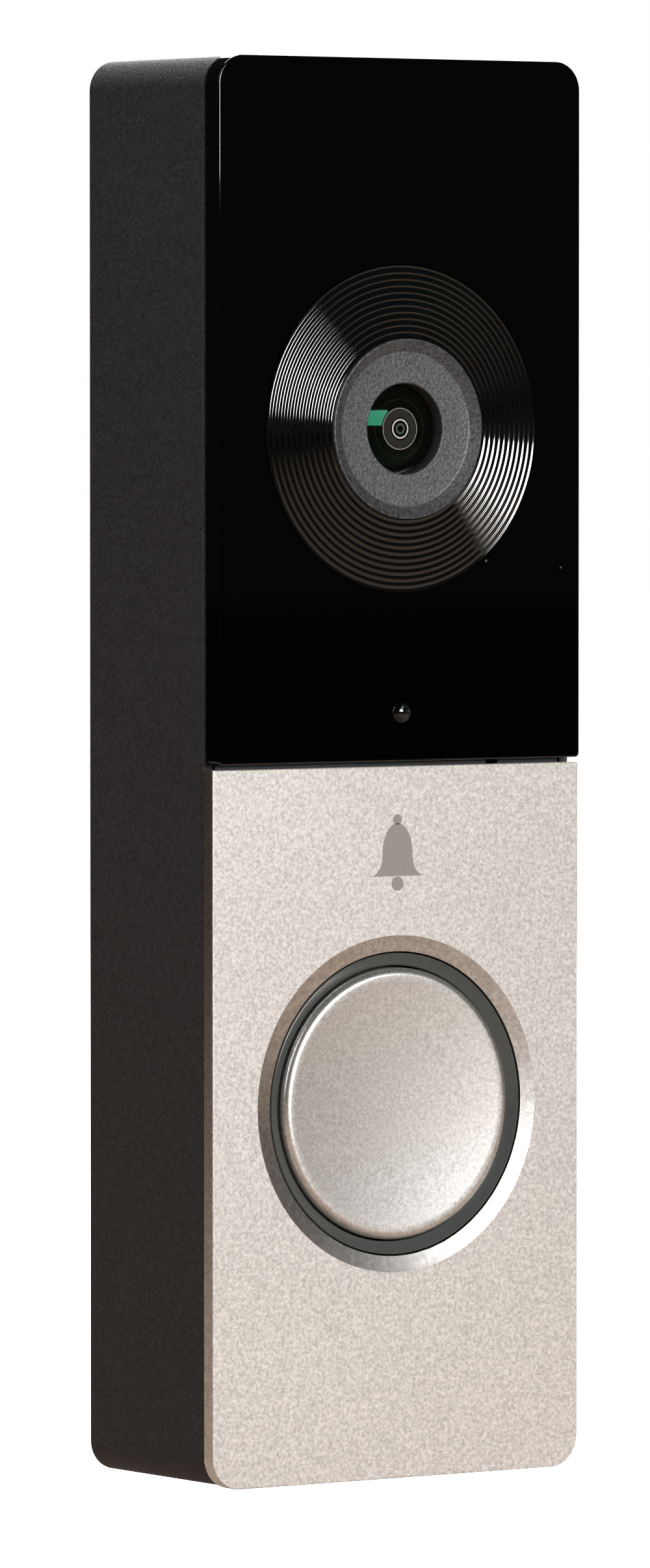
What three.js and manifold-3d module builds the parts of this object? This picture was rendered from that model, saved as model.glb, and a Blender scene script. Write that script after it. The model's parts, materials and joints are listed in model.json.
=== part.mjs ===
// A wall-mounted video doorbell, in millimetres.
//
// Every piece is drawn in the doorbell's own axes: x to the right as seen from the
// front, y up, and z out from the wall. The finished group is turned so that up
// becomes +Z and out from the wall becomes -Y. The origin is the middle of the face
// that meets the wall.
import * as THREE from "three";
import { mergeVertices } from "three/addons/utils/BufferGeometryUtils.js";
import Module from "manifold-3d";

// ---- Overall sizes ----
const HEIGHT = 134;
const WIDTH = 41.9;
const DEPTH = 21.5; // wall to the faceplate's front face
const CORNER_R = 2.8;
const GAP = 0.3; // between neighbours inside the case
const SEAM = 0.1; // between the outside pieces, and under soldered parts

// ---- Facets round a full circle ----
const FACETS_WIDE = 48;
const FACETS_MID = 24;
const FACETS_FINE = 12;

// ---- Rear housing ----
const BODY_SETBACK = 0.2; // housing shorter than the front plates, each end
const WALL = 2.2;
const RIM = 1.0; // thin rim round the front frame
const REAR_RIM = 1.8; // thin rim round the wall bracket
const REAR_EDGE = 0.3; // rear edge held off the wall
const RECESS_DEPTH = 4.9;
const FLOOR_T = 1.8;
const BOSS_R = 2.6;
const BOSS_INSET_X = 5.65; // boss centre from the side
const BOSS_INSET_Y = 5.8; // boss centre from the end
const PILOT_DEPTH = 8;

// ---- Front plates ----
const PLATE_T = 1.5;
const PLATE_CORNER_R = 3.0;
const PLATE_TOP_R = 0.4;
const PLATE_TOP = 0.34; // faceplate's top edge above mid height
const WINDOW_GAP = 0.47; // open slot between the two plates
const WINDOW_INSET = 0.275; // window narrower than the housing, each side
const WINDOW_PROUD = 0.625; // window's face in front of the faceplate's
const WINDOW_CORNER_R = 2.7;
const WINDOW_LOW_R = 0.4;

// ---- Camera ----
const CAMERA_FROM_TOP = 34.9;
const SHROUD_R = 15.4;
const SHROUD_LIP = 0.08; // shroud's rim in front of the window's face
const SHROUD_SPIGOT_R = 12.6;
const BEZEL_R = 8.5;
const BEZEL_PROUD = 1.2; // bezel's crest in front of the window's face
const BEZEL_FLAT_R = 7.24;
const BEZEL_DISH = 0.58;
const BEZEL_BORE_OVER = 0.11; // bezel's bore wider than the barrel's, all round
const BEZEL_BORE_DROP = 1.9;
const BARREL_R = 6.0;
const BARREL_WALL = 1.85;
const BARREL_STEP_R = 2.6;
const FRONT_LENS_DOME = 1.1;
const FRONT_LENS_EDGE = 1.6;
const APERTURE_R = 2.0;
const APERTURE_T = 0.4;
const REAR_LENS_T = 1.6;
const HOLDER_WALL = 1.2;
const SENSOR_SIZE = 8;
const SENSOR_T = 1.0;

// ---- Clear sensor lens under the camera ----
const SENSOR_LENS_UP = 4.6; // its centre above the window's lower edge
const SENSOR_LENS_R = 1.05;
const SENSOR_LENS_FLANGE = 0.7;

// ---- Button and light ring ----
const BUTTON_FROM_BOTTOM = 35.45;
const CAP_R = 12.86;
const CAP_GAP = 0.18; // between the cap and the light ring
const RING_WALL = 1.21;
const RING_SEAM = 0.15; // between the light ring and the faceplate
const CHAMFER_W = 1.52;
const CHAMFER_DROP = 0.23;
const RING_SLOPE = 0.69; // from the ring's outer edge down to its inner edge
const RING_FLANGE = 1.0;
const RING_FLANGE_T = 0.8;
const CAP_ROUND = 0.75;
const CAP_T = 2.6;
const CAP_DISH = 0.45;
const TRAVEL = 0.6;
const CARRIER_T = 1.5;
const CARRIER_INSET = 0.4;
const STEM_R = 2.2;
const BOOT_R = 7.5;
const BOOT_WALL = 2.0;
const SWITCH_SIZE = 6.2;
const SWITCH_H = 3.2;
const SWITCH_PLUNGER_R = 1.7;
const SWITCH_PLUNGER_H = 1.0;
const SWITCH_POCKET = 2.2;
const RING_LIGHTS = 6;
const LIGHT_SIZE = 1.1;
const LIGHT_H = 0.8;

// ---- Boards and what stands on them ----
const MAIN_BOARD_LIFT = 2.8;
const MAIN_BOARD_T = 1.6;
const BOARD_CLEAR = 0.6; // board edge to the housing's wall
const MAIN_BOARD_LOW = 17; // board's lower edge from the housing's end
const CAMERA_BOARD_LIFT = 1.5;
const CAMERA_BOARD_T = 1.2;
const CAMERA_BOARD_TOP = 10.8; // board's top edge from the housing's end
const CAMERA_BOARD_LOW = -3.4; // board's lower edge from mid height
const TERMINAL_UP = 18; // terminal block's centre above mid height
const TERMINAL_W = 17.4;
const TERMINAL_H = 15.4;
const TERMINAL_PITCH = 8.6;
const TERMINAL_SCREW_UP = 3.0; // screws above the block's centre
const TERMINAL_PROUD = 1.2; // block behind the floor
const TERMINAL_CLAMP = 6.4;
const TERMINAL_CLAMP_T = 0.7;
const TERMINAL_HEAD_R = 2.6;
const TERMINAL_HEAD_T = 1.2;
const TERMINAL_SHANK_R = 1.4;
const TERMINAL_SHANK_L = 3.6;
const EMITTER_SIZE = 3.5;
const EMITTER_H = 2.0;
const EMITTER_IN = 3.95; // emitter's centre from the board's edge
const EMITTER_Y = 19.4;
const EMITTER_HOLE_R = 2.2;
const LIGHT_SENSOR_SIZE = 2.4;
const LIGHT_SENSOR_H = 1.0;
const MIC_X = 12;
const MIC_SIZE = 3.4;
const MIC_H = 1.1;
const MIC_PORT_R = 0.7;
const MIC_BOOT_R = 2.0;
const SHIELD_W = 20;
const SHIELD_H = 9.6;
const SHIELD_T = 2.2;
const SHIELD_CLEAR = 0.45; // shield off the light ring's flange
const SPREADER_W = 24;
const SPREADER_H = 36;
const SPREADER_T = 1.2;
const SPREADER_ABOVE_BUTTON = 16;
const PAD_SIZE = 14;
const CELL_W = 26;
const CELL_H = 23;
const CELL_T = 4.6;
const CELL_FROM_TOP = 23.6;
const ANTENNA_W = 22;
const ANTENNA_T = 0.4;
const ANTENNA_FOOT = 2.6;
const ANTENNA_CLEAR = 0.9; // its top edge behind the front frame
const RIBBON_W = 9;
const RIBBON_T = 0.15;
const RIBBON_LENGTH = 7;

// ---- Front frame, seal and screws ----
const FRAME_T = 2.0;
const SEAL_T = 0.5;
const SEAL_W = 0.7;
const SCREW_R = 0.9;
const SCREW_HEAD_R = 1.9;
const SCREW_HEAD_T = 0.9;
const SCREW_LENGTH = 7.5;

// ---- Speaker ----
const SPEAKER_CLEAR = 1.2; // speaker to the screw bosses
const SPEAKER_H = 8.6;
const SPEAKER_T = 8.4;
const SPEAKER_WALL = 1.2;
const SPEAKER_GASKET_T = 0.9;
const PORTS = 5;
const PORT_W = 1.4;
const PORT_L = 4.6;
const PORT_PITCH = 3.6;
const DIAPHRAGM_T = 0.5;
const MAGNET_IN = 5; // magnet's end from the speaker's end
const MAGNET_H = 3.2;

// ---- Reset button ----
const RESET_X = 11.5;
const RESET_ABOVE_BOTTOM = 20;
const RESET_R = 1.2;
const RESET_FLANGE_R = 2.1;
const RESET_FLANGE_T = 0.7;
const RESET_NUB_R = 0.8;
const RESET_TRAVEL = 0.4;
const RESET_SWITCH_SIZE = 3.2;
const RESET_SWITCH_H = 0.6;

// ---- Wall bracket ----
const BRACKET_T = 2.0;
const BRACKET_SIDE = 0.45; // clearance to the housing's rear rim
const BRACKET_FLANGE_T = 1.5;
const BRACKET_CLEAR = 0.6; // flange off the housing's floor
const WINDOW_CUT_CLEAR = 0.8; // cable window past the terminal block, each side
const WINDOW_CUT_LOW = 8; // cable window below the terminal block's centre
const WINDOW_CUT_HIGH = 8.4;
const SLOT_W = 4.5;
const SLOT_L = 8.5;
const SLOT_FROM_END = 22;
const HOOK_W = 10;
const HOOK_T = 1.6;
const HOOK_REACH = 0.9;
const TAB_W = 8;
const TAB_L = 5;
const LOCK_SCREW_R = 1.1;
const LOCK_HEAD_R = 2.0;
const LOCK_HEAD_T = 0.9;
const LOCK_LENGTH = 5.2;
const REAR_GASKET_W = 1.6;
const REAR_GASKET_T = 0.5;

// ---- Places worked out from the sizes above ----
const halfW = WIDTH / 2;
const halfH = HEIGHT / 2;
const bodyHalfH = halfH - BODY_SETBACK;
const bodyFront = DEPTH - PLATE_T - SEAM;
const floorBack = REAR_EDGE + RECESS_DEPTH;
const floorFront = floorBack + FLOOR_T;
const plateBack = DEPTH - PLATE_T;
const windowFront = DEPTH + WINDOW_PROUD;
const windowLow = PLATE_TOP + WINDOW_GAP;
const ringBoreR = CAP_R + CAP_GAP;
const ringR = ringBoreR + RING_WALL;
const plateBoreR = ringR + RING_SEAM;
const chamferR = plateBoreR + CHAMFER_W;
const frameBack = bodyFront - FRAME_T;
const ledge = frameBack - SEAL_T - 2 * SEAM;
const cameraY = halfH - CAMERA_FROM_TOP;
const buttonY = -halfH + BUTTON_FROM_BOTTOM;
const sensorLensY = windowLow + SENSOR_LENS_UP;
const mainBack = floorFront + MAIN_BOARD_LIFT;
const mainFront = mainBack + MAIN_BOARD_T;
const cameraBoardBack = mainFront + CAMERA_BOARD_LIFT;
const cameraBoardFront = cameraBoardBack + CAMERA_BOARD_T;
const boardHalfW = halfW - WALL - BOARD_CLEAR;
const emitterX = boardHalfW - EMITTER_IN;
const micY = PLATE_TOP + WINDOW_GAP / 2;
const barrelBoreR = BARREL_R - BARREL_WALL;
const bezelBoreR = barrelBoreR + BEZEL_BORE_OVER;
const bezelCrest = windowFront + BEZEL_PROUD;
const bezelFlat = bezelCrest - BEZEL_DISH;
const bezelBack = bezelFlat - BEZEL_BORE_DROP;
const barrelFront = bezelBack - GAP;
const barrelBack = cameraBoardFront + SENSOR_T + 2 * GAP;
const capFront = DEPTH;
const capBack = capFront - CAP_T;
const carrierFront = capBack - SEAM;
const carrierBack = carrierFront - CARRIER_T;
const switchTop = mainFront + SEAM + SWITCH_H;
const plungerTop = switchTop + SWITCH_PLUNGER_H;
const bossX = halfW - BOSS_INSET_X;
const bossY = bodyHalfH - BOSS_INSET_Y;
const speakerHalfW = bossX - BOSS_R - SPEAKER_CLEAR;
const shieldY = buttonY + ringR + RING_FLANGE + SHIELD_CLEAR + SHIELD_H / 2;
const terminalBack = floorBack - TERMINAL_PROUD;
const terminalScrewY = TERMINAL_UP + TERMINAL_SCREW_UP;
const bracketFront = floorBack - BRACKET_CLEAR;
const lockZ = (REAR_EDGE + floorBack) / 2;

const wasm = await Module();
wasm.setup();

// ---- Geometry helpers ----

/** A closed three.js geometry as a solid that can be joined and cut. */
function solidOf(geometry) {
  const bare = geometry.clone();
  bare.deleteAttribute("normal");
  bare.deleteAttribute("uv");
  const merged = mergeVertices(bare, 1e-4);
  const corners = merged.index.array;
  const triVerts = [];
  for (let i = 0; i < corners.length; i += 3) {
    const [a, b, c] = [corners[i], corners[i + 1], corners[i + 2]];
    if (a !== b && b !== c && c !== a) triVerts.push(a, b, c);
  }
  return new wasm.Manifold(
    new wasm.Mesh({
      numProp: 3,
      vertProperties: new Float32Array(merged.attributes.position.array),
      triVerts: new Uint32Array(triVerts),
    }),
  );
}

/** A solid as a three.js geometry with flat-shaded faces. */
function geometryOf(solid) {
  const mesh = solid.getMesh();
  const geometry = new THREE.BufferGeometry();
  geometry.setAttribute("position", new THREE.BufferAttribute(mesh.vertProperties, 3));
  geometry.setIndex(new THREE.BufferAttribute(mesh.triVerts, 1));
  const flat = geometry.toNonIndexed();
  flat.computeVertexNormals();
  return flat;
}

const joined = (first, ...rest) => rest.reduce((all, next) => all.add(next), first);
const cut = (base, ...tools) => tools.reduce((left, tool) => left.subtract(tool), base);

/** A rectangle with its four corner radii, from bottom left anticlockwise. */
function roundedRect(x0, x1, y0, y1, radii) {
  const [bl, br, tr, tl] = radii;
  const quarter = Math.PI / 2;
  const shape = new THREE.Shape();
  shape.moveTo(x0 + bl, y0);
  shape.lineTo(x1 - br, y0);
  shape.absarc(x1 - br, y0 + br, br, -quarter, 0);
  shape.lineTo(x1, y1 - tr);
  shape.absarc(x1 - tr, y1 - tr, tr, 0, quarter);
  shape.lineTo(x0 + tl, y1);
  shape.absarc(x0 + tl, y1 - tl, tl, quarter, 2 * quarter);
  shape.lineTo(x0, y0 + bl);
  shape.absarc(x0 + bl, y0 + bl, bl, 2 * quarter, 3 * quarter);
  return shape;
}

/** A shape given thickness from back to front. */
function slab(shape, back, front, curveSegments = 5) {
  const options = { depth: front - back, bevelEnabled: false, curveSegments };
  return solidOf(new THREE.ExtrudeGeometry(shape, options).translate(0, 0, back));
}

/** The housing's outline, drawn in by inset all round, as a slab. */
function outlineSlab(inset, back, front, top = bodyHalfH, radius = CORNER_R) {
  const r = Math.max(radius - inset, 0.4);
  const shape = roundedRect(-halfW + inset, halfW - inset, -top + inset, top - inset, [r, r, r, r]);
  return slab(shape, back, front);
}

/** A box between two corners. */
function block(x0, x1, y0, y1, z0, z1) {
  const box = new THREE.BoxGeometry(x1 - x0, y1 - y0, z1 - z0);
  return solidOf(box.translate((x0 + x1) / 2, (y0 + y1) / 2, (z0 + z1) / 2));
}

/** A box centred on a point of the front view. */
const blockAt = (x, y, w, h, z0, z1) => block(x - w / 2, x + w / 2, y - h / 2, y + h / 2, z0, z1);

/** A round bar or hole that points out from the wall. */
function rod(x, y, radius, back, front, segments = FACETS_FINE) {
  const cylinder = new THREE.CylinderGeometry(radius, radius, front - back, segments);
  cylinder.rotateX(Math.PI / 2);
  return solidOf(cylinder.translate(x, y, (back + front) / 2));
}

/** A profile of [radius, z] points turned about an axis that points out from the wall. */
function turned(x, y, profile, segments = FACETS_WIDE) {
  const points = profile.map(([radius, z]) => new THREE.Vector2(radius, z));
  const lathe = new THREE.LatheGeometry(points, segments);
  lathe.rotateX(Math.PI / 2);
  const solid = solidOf(lathe.translate(x, y, 0));
  if (solid.volume() > 0) return solid;
  return turned(x, y, [...profile].reverse(), segments);
}

/** A tube wall: a closed ring of rectangular section. */
function sleeve(x, y, outer, inner, back, front, segments = FACETS_MID) {
  const profile = [[inner, back], [outer, back], [outer, front], [inner, front], [inner, back]];
  return turned(x, y, profile, segments);
}

const doorbell = new THREE.Group();
doorbell.rotation.x = Math.PI / 2;

const FINISHES = {
  housing: { color: 0x2b292a, roughness: 0.75, metalness: 0 },
  gloss: { color: 0x060606, roughness: 0.06, metalness: 0 },
  nickel: { color: 0xd4cdc6, roughness: 0.42, metalness: 0.85 },
  bezel: { color: 0x5e5e60, roughness: 0.6, metalness: 0.1 },
  smoke: { color: 0x58605f, roughness: 0.15, metalness: 0 },
  blackPlastic: { color: 0x1a1a1b, roughness: 0.6, metalness: 0 },
  glass: { color: 0xdfe8ea, roughness: 0.03, metalness: 0 },
  seal: { color: 0x3a3a3c, roughness: 0.85, metalness: 0 },
  board: { color: 0x14532f, roughness: 0.5, metalness: 0 },
  chip: { color: 0x202124, roughness: 0.4, metalness: 0 },
  steel: { color: 0xb9bcc0, roughness: 0.35, metalness: 1 },
  brass: { color: 0xc9a24b, roughness: 0.35, metalness: 1 },
  aluminium: { color: 0xc4c7ca, roughness: 0.4, metalness: 1 },
  lamp: { color: 0xf2efe2, roughness: 0.4, metalness: 0 },
  foil: { color: 0x4a6f9c, roughness: 0.5, metalness: 0 },
  ribbon: { color: 0xb6792c, roughness: 0.5, metalness: 0 },
};

/** Adds one named piece to the doorbell. */
function addPiece(name, finish, solid) {
  const mesh = new THREE.Mesh(geometryOf(solid), new THREE.MeshStandardMaterial(FINISHES[finish]));
  mesh.name = name;
  doorbell.add(mesh);
}

// ---- Case ----

function rearHousing() {
  const cavity = outlineSlab(WALL, floorFront, ledge + SEAM);
  const frameSeat = outlineSlab(RIM, ledge, bodyFront + GAP);
  const recess = outlineSlab(REAR_RIM, REAR_EDGE - GAP, floorBack);
  const bosses = [-1, 1].flatMap((sx) => [-1, 1].map((sy) => [sx * bossX, sy * bossY]));
  const terminalHole = blockAt(
    0, TERMINAL_UP, TERMINAL_W + 2 * GAP, TERMINAL_H + 2 * GAP, floorBack - GAP, floorFront + GAP,
  );
  const resetHole = rod(RESET_X, resetY(), RESET_R + GAP, floorBack - GAP, floorFront + GAP);
  const hookPocket = block(
    -HOOK_W / 2 - GAP, HOOK_W / 2 + GAP,
    bodyHalfH - REAR_RIM - GAP, bodyHalfH - REAR_RIM + HOOK_REACH + GAP,
    bracketFront - HOOK_T - GAP, bracketFront + GAP,
  );
  const lockHole = solidOf(
    new THREE.CylinderGeometry(LOCK_SCREW_R + GAP, LOCK_SCREW_R + GAP, 2 * REAR_RIM + GAP, FACETS_FINE)
      .translate(0, -bodyHalfH + REAR_RIM / 2, lockZ),
  );
  const lockSink = solidOf(
    new THREE.CylinderGeometry(LOCK_HEAD_R + GAP, LOCK_HEAD_R + GAP, 2 * (LOCK_HEAD_T + SEAM), FACETS_FINE)
      .translate(0, -bodyHalfH, lockZ),
  );
  let body = outlineSlab(0, REAR_EDGE, bodyFront);
  body = cut(body, cavity, frameSeat, recess);
  for (const [x, y] of bosses) {
    body = joined(body, rod(x, y, BOSS_R, floorFront - SEAM, ledge));
  }
  for (const [x, y] of bosses) {
    body = cut(body, rod(x, y, SCREW_R + GAP, ledge - PILOT_DEPTH, ledge + GAP));
  }
  return cut(body, terminalHole, resetHole, hookPocket, lockHole, lockSink, ...speakerPorts());
}

/** Sound slots through the housing's lower end, under the speaker. */
function speakerPorts() {
  const middle = speakerMiddle();
  const first = (-(PORTS - 1) / 2) * PORT_PITCH;
  return Array.from({ length: PORTS }, (_, i) => {
    const x = first + i * PORT_PITCH;
    return block(
      x - PORT_W / 2, x + PORT_W / 2,
      -bodyHalfH - GAP, -bodyHalfH + WALL + GAP,
      middle - PORT_L / 2, middle + PORT_L / 2,
    );
  });
}

const speakerMiddle = () => (floorFront + ledge) / 2;
const resetY = () => -bodyHalfH + RESET_ABOVE_BOTTOM;

function housingSeal() {
  const outer = outlineSlab(RIM + GAP, ledge + SEAM, ledge + SEAM + SEAL_T);
  const inner = outlineSlab(RIM + GAP + SEAL_W, ledge, ledge + 3 * SEAM + SEAL_T);
  return cut(outer, inner);
}

/** The plate that carries both front plates and closes the housing. */
function frontFrame() {
  const holes = [
    rod(0, cameraY, SHROUD_SPIGOT_R + GAP, frameBack - GAP, bodyFront + GAP, FACETS_WIDE),
    rod(0, buttonY, ringR + GAP, frameBack - GAP, bodyFront + GAP, FACETS_WIDE),
    rod(0, sensorLensY, SENSOR_LENS_R + GAP, frameBack - GAP, bodyFront + GAP),
    rod(MIC_X, micY, MIC_PORT_R, frameBack - GAP, bodyFront + GAP),
    ...emitterPlaces().map(([x, y]) =>
      rod(x, y, EMITTER_HOLE_R, frameBack - GAP, bodyFront + GAP)),
  ];
  const screwHoles = cornerPlaces().flatMap(([x, y]) => [
    rod(x, y, SCREW_R + GAP, frameBack - GAP, bodyFront + GAP),
    rod(x, y, SCREW_HEAD_R + GAP, bodyFront - SCREW_HEAD_T - SEAM, bodyFront + GAP),
  ]);
  return cut(outlineSlab(RIM + GAP, frameBack, bodyFront), ...holes, ...screwHoles);
}

const cornerPlaces = () => [
  [-bossX, -bossY], [bossX, -bossY], [bossX, bossY], [-bossX, bossY],
];

const emitterPlaces = () => [
  [-emitterX, cameraY - EMITTER_Y], [emitterX, cameraY - EMITTER_Y],
  [emitterX, cameraY + EMITTER_Y], [-emitterX, cameraY + EMITTER_Y],
];

function housingScrew(x, y) {
  const headBack = bodyFront - SCREW_HEAD_T;
  const tip = headBack - SCREW_LENGTH;
  const profile = [
    [0, tip], [SCREW_R * 0.4, tip], [SCREW_R, tip + SCREW_R],
    [SCREW_R, headBack], [SCREW_HEAD_R, headBack],
    [SCREW_HEAD_R, bodyFront - 2 * SEAM], [SCREW_HEAD_R - 2 * SEAM, bodyFront - SEAM],
    [0, bodyFront - SEAM],
  ];
  return turned(x, y, profile, FACETS_FINE);
}

// ---- Front plates ----

function cameraWindow() {
  const r = WINDOW_CORNER_R;
  const low = WINDOW_LOW_R;
  const side = halfW - WINDOW_INSET;
  const shape = roundedRect(-side, side, windowLow, halfH - BODY_SETBACK / 2, [low, low, r, r]);
  const panel = slab(shape, plateBack, windowFront);
  return cut(
    panel,
    rod(0, cameraY, SHROUD_R + SEAM, plateBack - GAP, windowFront + GAP, FACETS_WIDE),
    rod(0, sensorLensY, SENSOR_LENS_R + SEAM, plateBack - GAP, windowFront + GAP),
  );
}

function faceplate() {
  const r = PLATE_CORNER_R;
  const top = PLATE_TOP_R;
  const shape = roundedRect(-halfW, halfW, -halfH, PLATE_TOP, [r, r, top, top]);
  const plate = slab(shape, plateBack, DEPTH);
  const seat = DEPTH - CHAMFER_DROP;
  const slope = CHAMFER_W / CHAMFER_DROP;
  const opening = [
    [0, plateBack - GAP], [plateBoreR, plateBack - GAP], [plateBoreR, seat],
    [chamferR + slope * SEAM, DEPTH + SEAM], [0, DEPTH + SEAM],
  ];
  return cut(plate, turned(0, buttonY, opening));
}

// ---- Camera ----

/** The raised cone round the lens, on a spigot that passes through the window and the frame. */
function lensShroud() {
  const inner = BEZEL_R + SEAM;
  const flangeBack = plateBack + SEAM;
  const profile = [
    [inner, frameBack + GAP], [SHROUD_SPIGOT_R, frameBack + GAP],
    [SHROUD_SPIGOT_R, flangeBack], [SHROUD_R, flangeBack], [SHROUD_R, windowFront + SHROUD_LIP],
    [inner, bezelCrest - GAP], [inner, frameBack + GAP],
  ];
  return turned(0, cameraY, profile);
}

function lensBezel() {
  const seat = bezelBack - GAP;
  const back = frameBack + GAP;
  const barrelR = BARREL_R + GAP;
  const crestR = BEZEL_R - GAP / 2;
  const profile = [
    [barrelR, back], [BEZEL_R, back], [BEZEL_R, bezelCrest - GAP / 2], [crestR, bezelCrest],
    [BEZEL_FLAT_R, bezelFlat], [bezelBoreR, bezelFlat], [bezelBoreR, seat + GAP],
    [barrelR, seat + GAP], [barrelR, back],
  ];
  return turned(0, cameraY, profile);
}

function lensBarrel() {
  const step = apertureBack() - SEAM;
  const profile = [
    [BARREL_STEP_R, barrelBack], [BARREL_R, barrelBack], [BARREL_R, barrelFront],
    [barrelBoreR, barrelFront], [barrelBoreR, step], [BARREL_STEP_R, step],
    [BARREL_STEP_R, barrelBack],
  ];
  return turned(0, cameraY, profile, FACETS_MID);
}

const frontLensBack = () => barrelFront - FRONT_LENS_EDGE + GAP;
const apertureBack = () => frontLensBack() - SEAM - APERTURE_T;

function apertureRing() {
  const back = apertureBack();
  return sleeve(0, cameraY, barrelBoreR - SEAM, APERTURE_R, back, back + APERTURE_T);
}

/** The domed front glass, seated in the barrel and standing into the bezel's bore. */
function frontLens() {
  const edge = barrelBoreR - SEAM;
  const back = frontLensBack();
  const shoulder = back + FRONT_LENS_EDGE;
  const steps = 4;
  const profile = [[0, back], [edge, back], [edge, shoulder]];
  for (let i = 1; i <= steps; i += 1) {
    const turn = (i / steps) * (Math.PI / 2);
    const radius = i === steps ? 0 : (edge - SEAM) * Math.cos(turn);
    profile.push([radius, shoulder + FRONT_LENS_DOME * Math.sin(turn)]);
  }
  return turned(0, cameraY, profile, FACETS_MID);
}

function rearLens() {
  const front = apertureBack() - 2 * GAP;
  return rod(0, cameraY, BARREL_STEP_R - SEAM, front - REAR_LENS_T, front, FACETS_MID);
}

function lensHolder() {
  const back = cameraBoardFront + SEAM;
  const half = BARREL_R + GAP + HOLDER_WALL;
  const shape = roundedRect(-half, half, cameraY - half, cameraY + half, [1, 1, 1, 1]);
  const pocket = blockAt(
    0, cameraY, SENSOR_SIZE + 1, SENSOR_SIZE + 1, back - GAP, back + SENSOR_T + GAP,
  );
  const bore = rod(0, cameraY, BARREL_R + GAP, barrelBack - GAP, frameBack + GAP, FACETS_MID);
  return cut(slab(shape, back, frameBack), pocket, bore);
}

function imageSensor() {
  const back = cameraBoardFront + SEAM;
  const body = blockAt(0, cameraY, SENSOR_SIZE, SENSOR_SIZE, back, back + SENSOR_T - SEAM);
  const well = blockAt(
    0, cameraY, SENSOR_SIZE - 2, SENSOR_SIZE - 2.6, back + SENSOR_T - 3 * SEAM, back + SENSOR_T,
  );
  return cut(body, well);
}

function cameraBoard() {
  const top = bodyHalfH - CAMERA_BOARD_TOP;
  const shape = roundedRect(-boardHalfW, boardHalfW, CAMERA_BOARD_LOW, top, [1, 1, 1, 1]);
  return slab(shape, cameraBoardBack, cameraBoardFront, 3);
}

function infraredEmitter(x, y) {
  const back = cameraBoardFront + SEAM;
  const base = blockAt(x, y, EMITTER_SIZE, EMITTER_SIZE, back, back + EMITTER_H * 0.6);
  const dome = rod(x, y, EMITTER_SIZE * 0.42, back + EMITTER_H * 0.5, back + EMITTER_H);
  return joined(base, dome);
}

function sensorLens() {
  const flange = frameBack - SEAM;
  const tip = windowFront + SENSOR_LENS_R * 0.5;
  const r = SENSOR_LENS_R;
  const profile = [
    [0, flange - SENSOR_LENS_FLANGE], [r * 1.6, flange - SENSOR_LENS_FLANGE], [r * 1.6, flange],
    [r, flange], [r, windowFront - SEAM], [r * 0.86, windowFront + r * 0.25],
    [r * 0.5, windowFront + r * 0.43], [0, tip],
  ];
  return turned(0, sensorLensY, profile, FACETS_FINE);
}

function lightSensor() {
  const back = cameraBoardFront + SEAM;
  const size = LIGHT_SENSOR_SIZE;
  const body = blockAt(0, sensorLensY, size, size, back, back + LIGHT_SENSOR_H);
  const well = blockAt(
    0, sensorLensY, size / 2, size / 2, back + LIGHT_SENSOR_H - 3 * SEAM, back + LIGHT_SENSOR_H + SEAM,
  );
  return cut(body, well);
}

function microphone() {
  const back = cameraBoardFront + SEAM;
  const can = blockAt(MIC_X, micY, MIC_SIZE, MIC_SIZE, back, back + MIC_H);
  const port = rod(MIC_X, micY, MIC_PORT_R, back + MIC_H - GAP, back + MIC_H + SEAM);
  return cut(can, port);
}

function microphoneBoot() {
  const back = cameraBoardFront + MIC_H + 2 * SEAM;
  return sleeve(MIC_X, micY, MIC_BOOT_R, MIC_PORT_R, back, frameBack - SEAM, FACETS_FINE);
}

/** A bent sheet: a foot on the camera board and an upright leaf. */
function antenna() {
  const foot = cameraBoardFront + SEAM;
  const top = bodyHalfH - CAMERA_BOARD_TOP - SEAM;
  const tip = frameBack - ANTENNA_CLEAR;
  const shape = new THREE.Shape();
  shape.moveTo(top - ANTENNA_FOOT, foot);
  shape.lineTo(top, foot);
  shape.lineTo(top, tip);
  shape.lineTo(top - ANTENNA_T, tip);
  shape.lineTo(top - ANTENNA_T, foot + ANTENNA_T);
  shape.lineTo(top - ANTENNA_FOOT, foot + ANTENNA_T);
  return profileAcross(shape, ANTENNA_W);
}

/** A shape drawn in (y, z), extruded across x and centred. */
function profileAcross(shape, width) {
  const options = { depth: width, bevelEnabled: false, curveSegments: 6 };
  const geometry = new THREE.ExtrudeGeometry(shape, options).translate(0, 0, -width / 2);
  const turn = new THREE.Matrix4().set(0, 0, 1, 0, 1, 0, 0, 0, 0, 1, 0, 0, 0, 0, 0, 1);
  return solidOf(geometry.applyMatrix4(turn));
}

/** The flat lead that folds from the main board round to the camera board. */
function cameraRibbon() {
  const low = mainFront + SEAM;
  const high = cameraBoardBack - SEAM;
  const middle = (low + high) / 2;
  const outer = (high - low) / 2;
  const start = mainBoardTop() - RIBBON_LENGTH;
  const bend = mainBoardTop();
  const quarter = Math.PI / 2;
  const shape = new THREE.Shape();
  shape.moveTo(start, low);
  shape.lineTo(bend, low);
  shape.absarc(bend, middle, outer, -quarter, quarter);
  shape.lineTo(start, high);
  shape.lineTo(start, high - RIBBON_T);
  shape.lineTo(bend, high - RIBBON_T);
  shape.absarc(bend, middle, outer - RIBBON_T, quarter, -quarter, true);
  shape.lineTo(start, low + RIBBON_T);
  return profileAcross(shape, RIBBON_W);
}

// ---- Button ----

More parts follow.
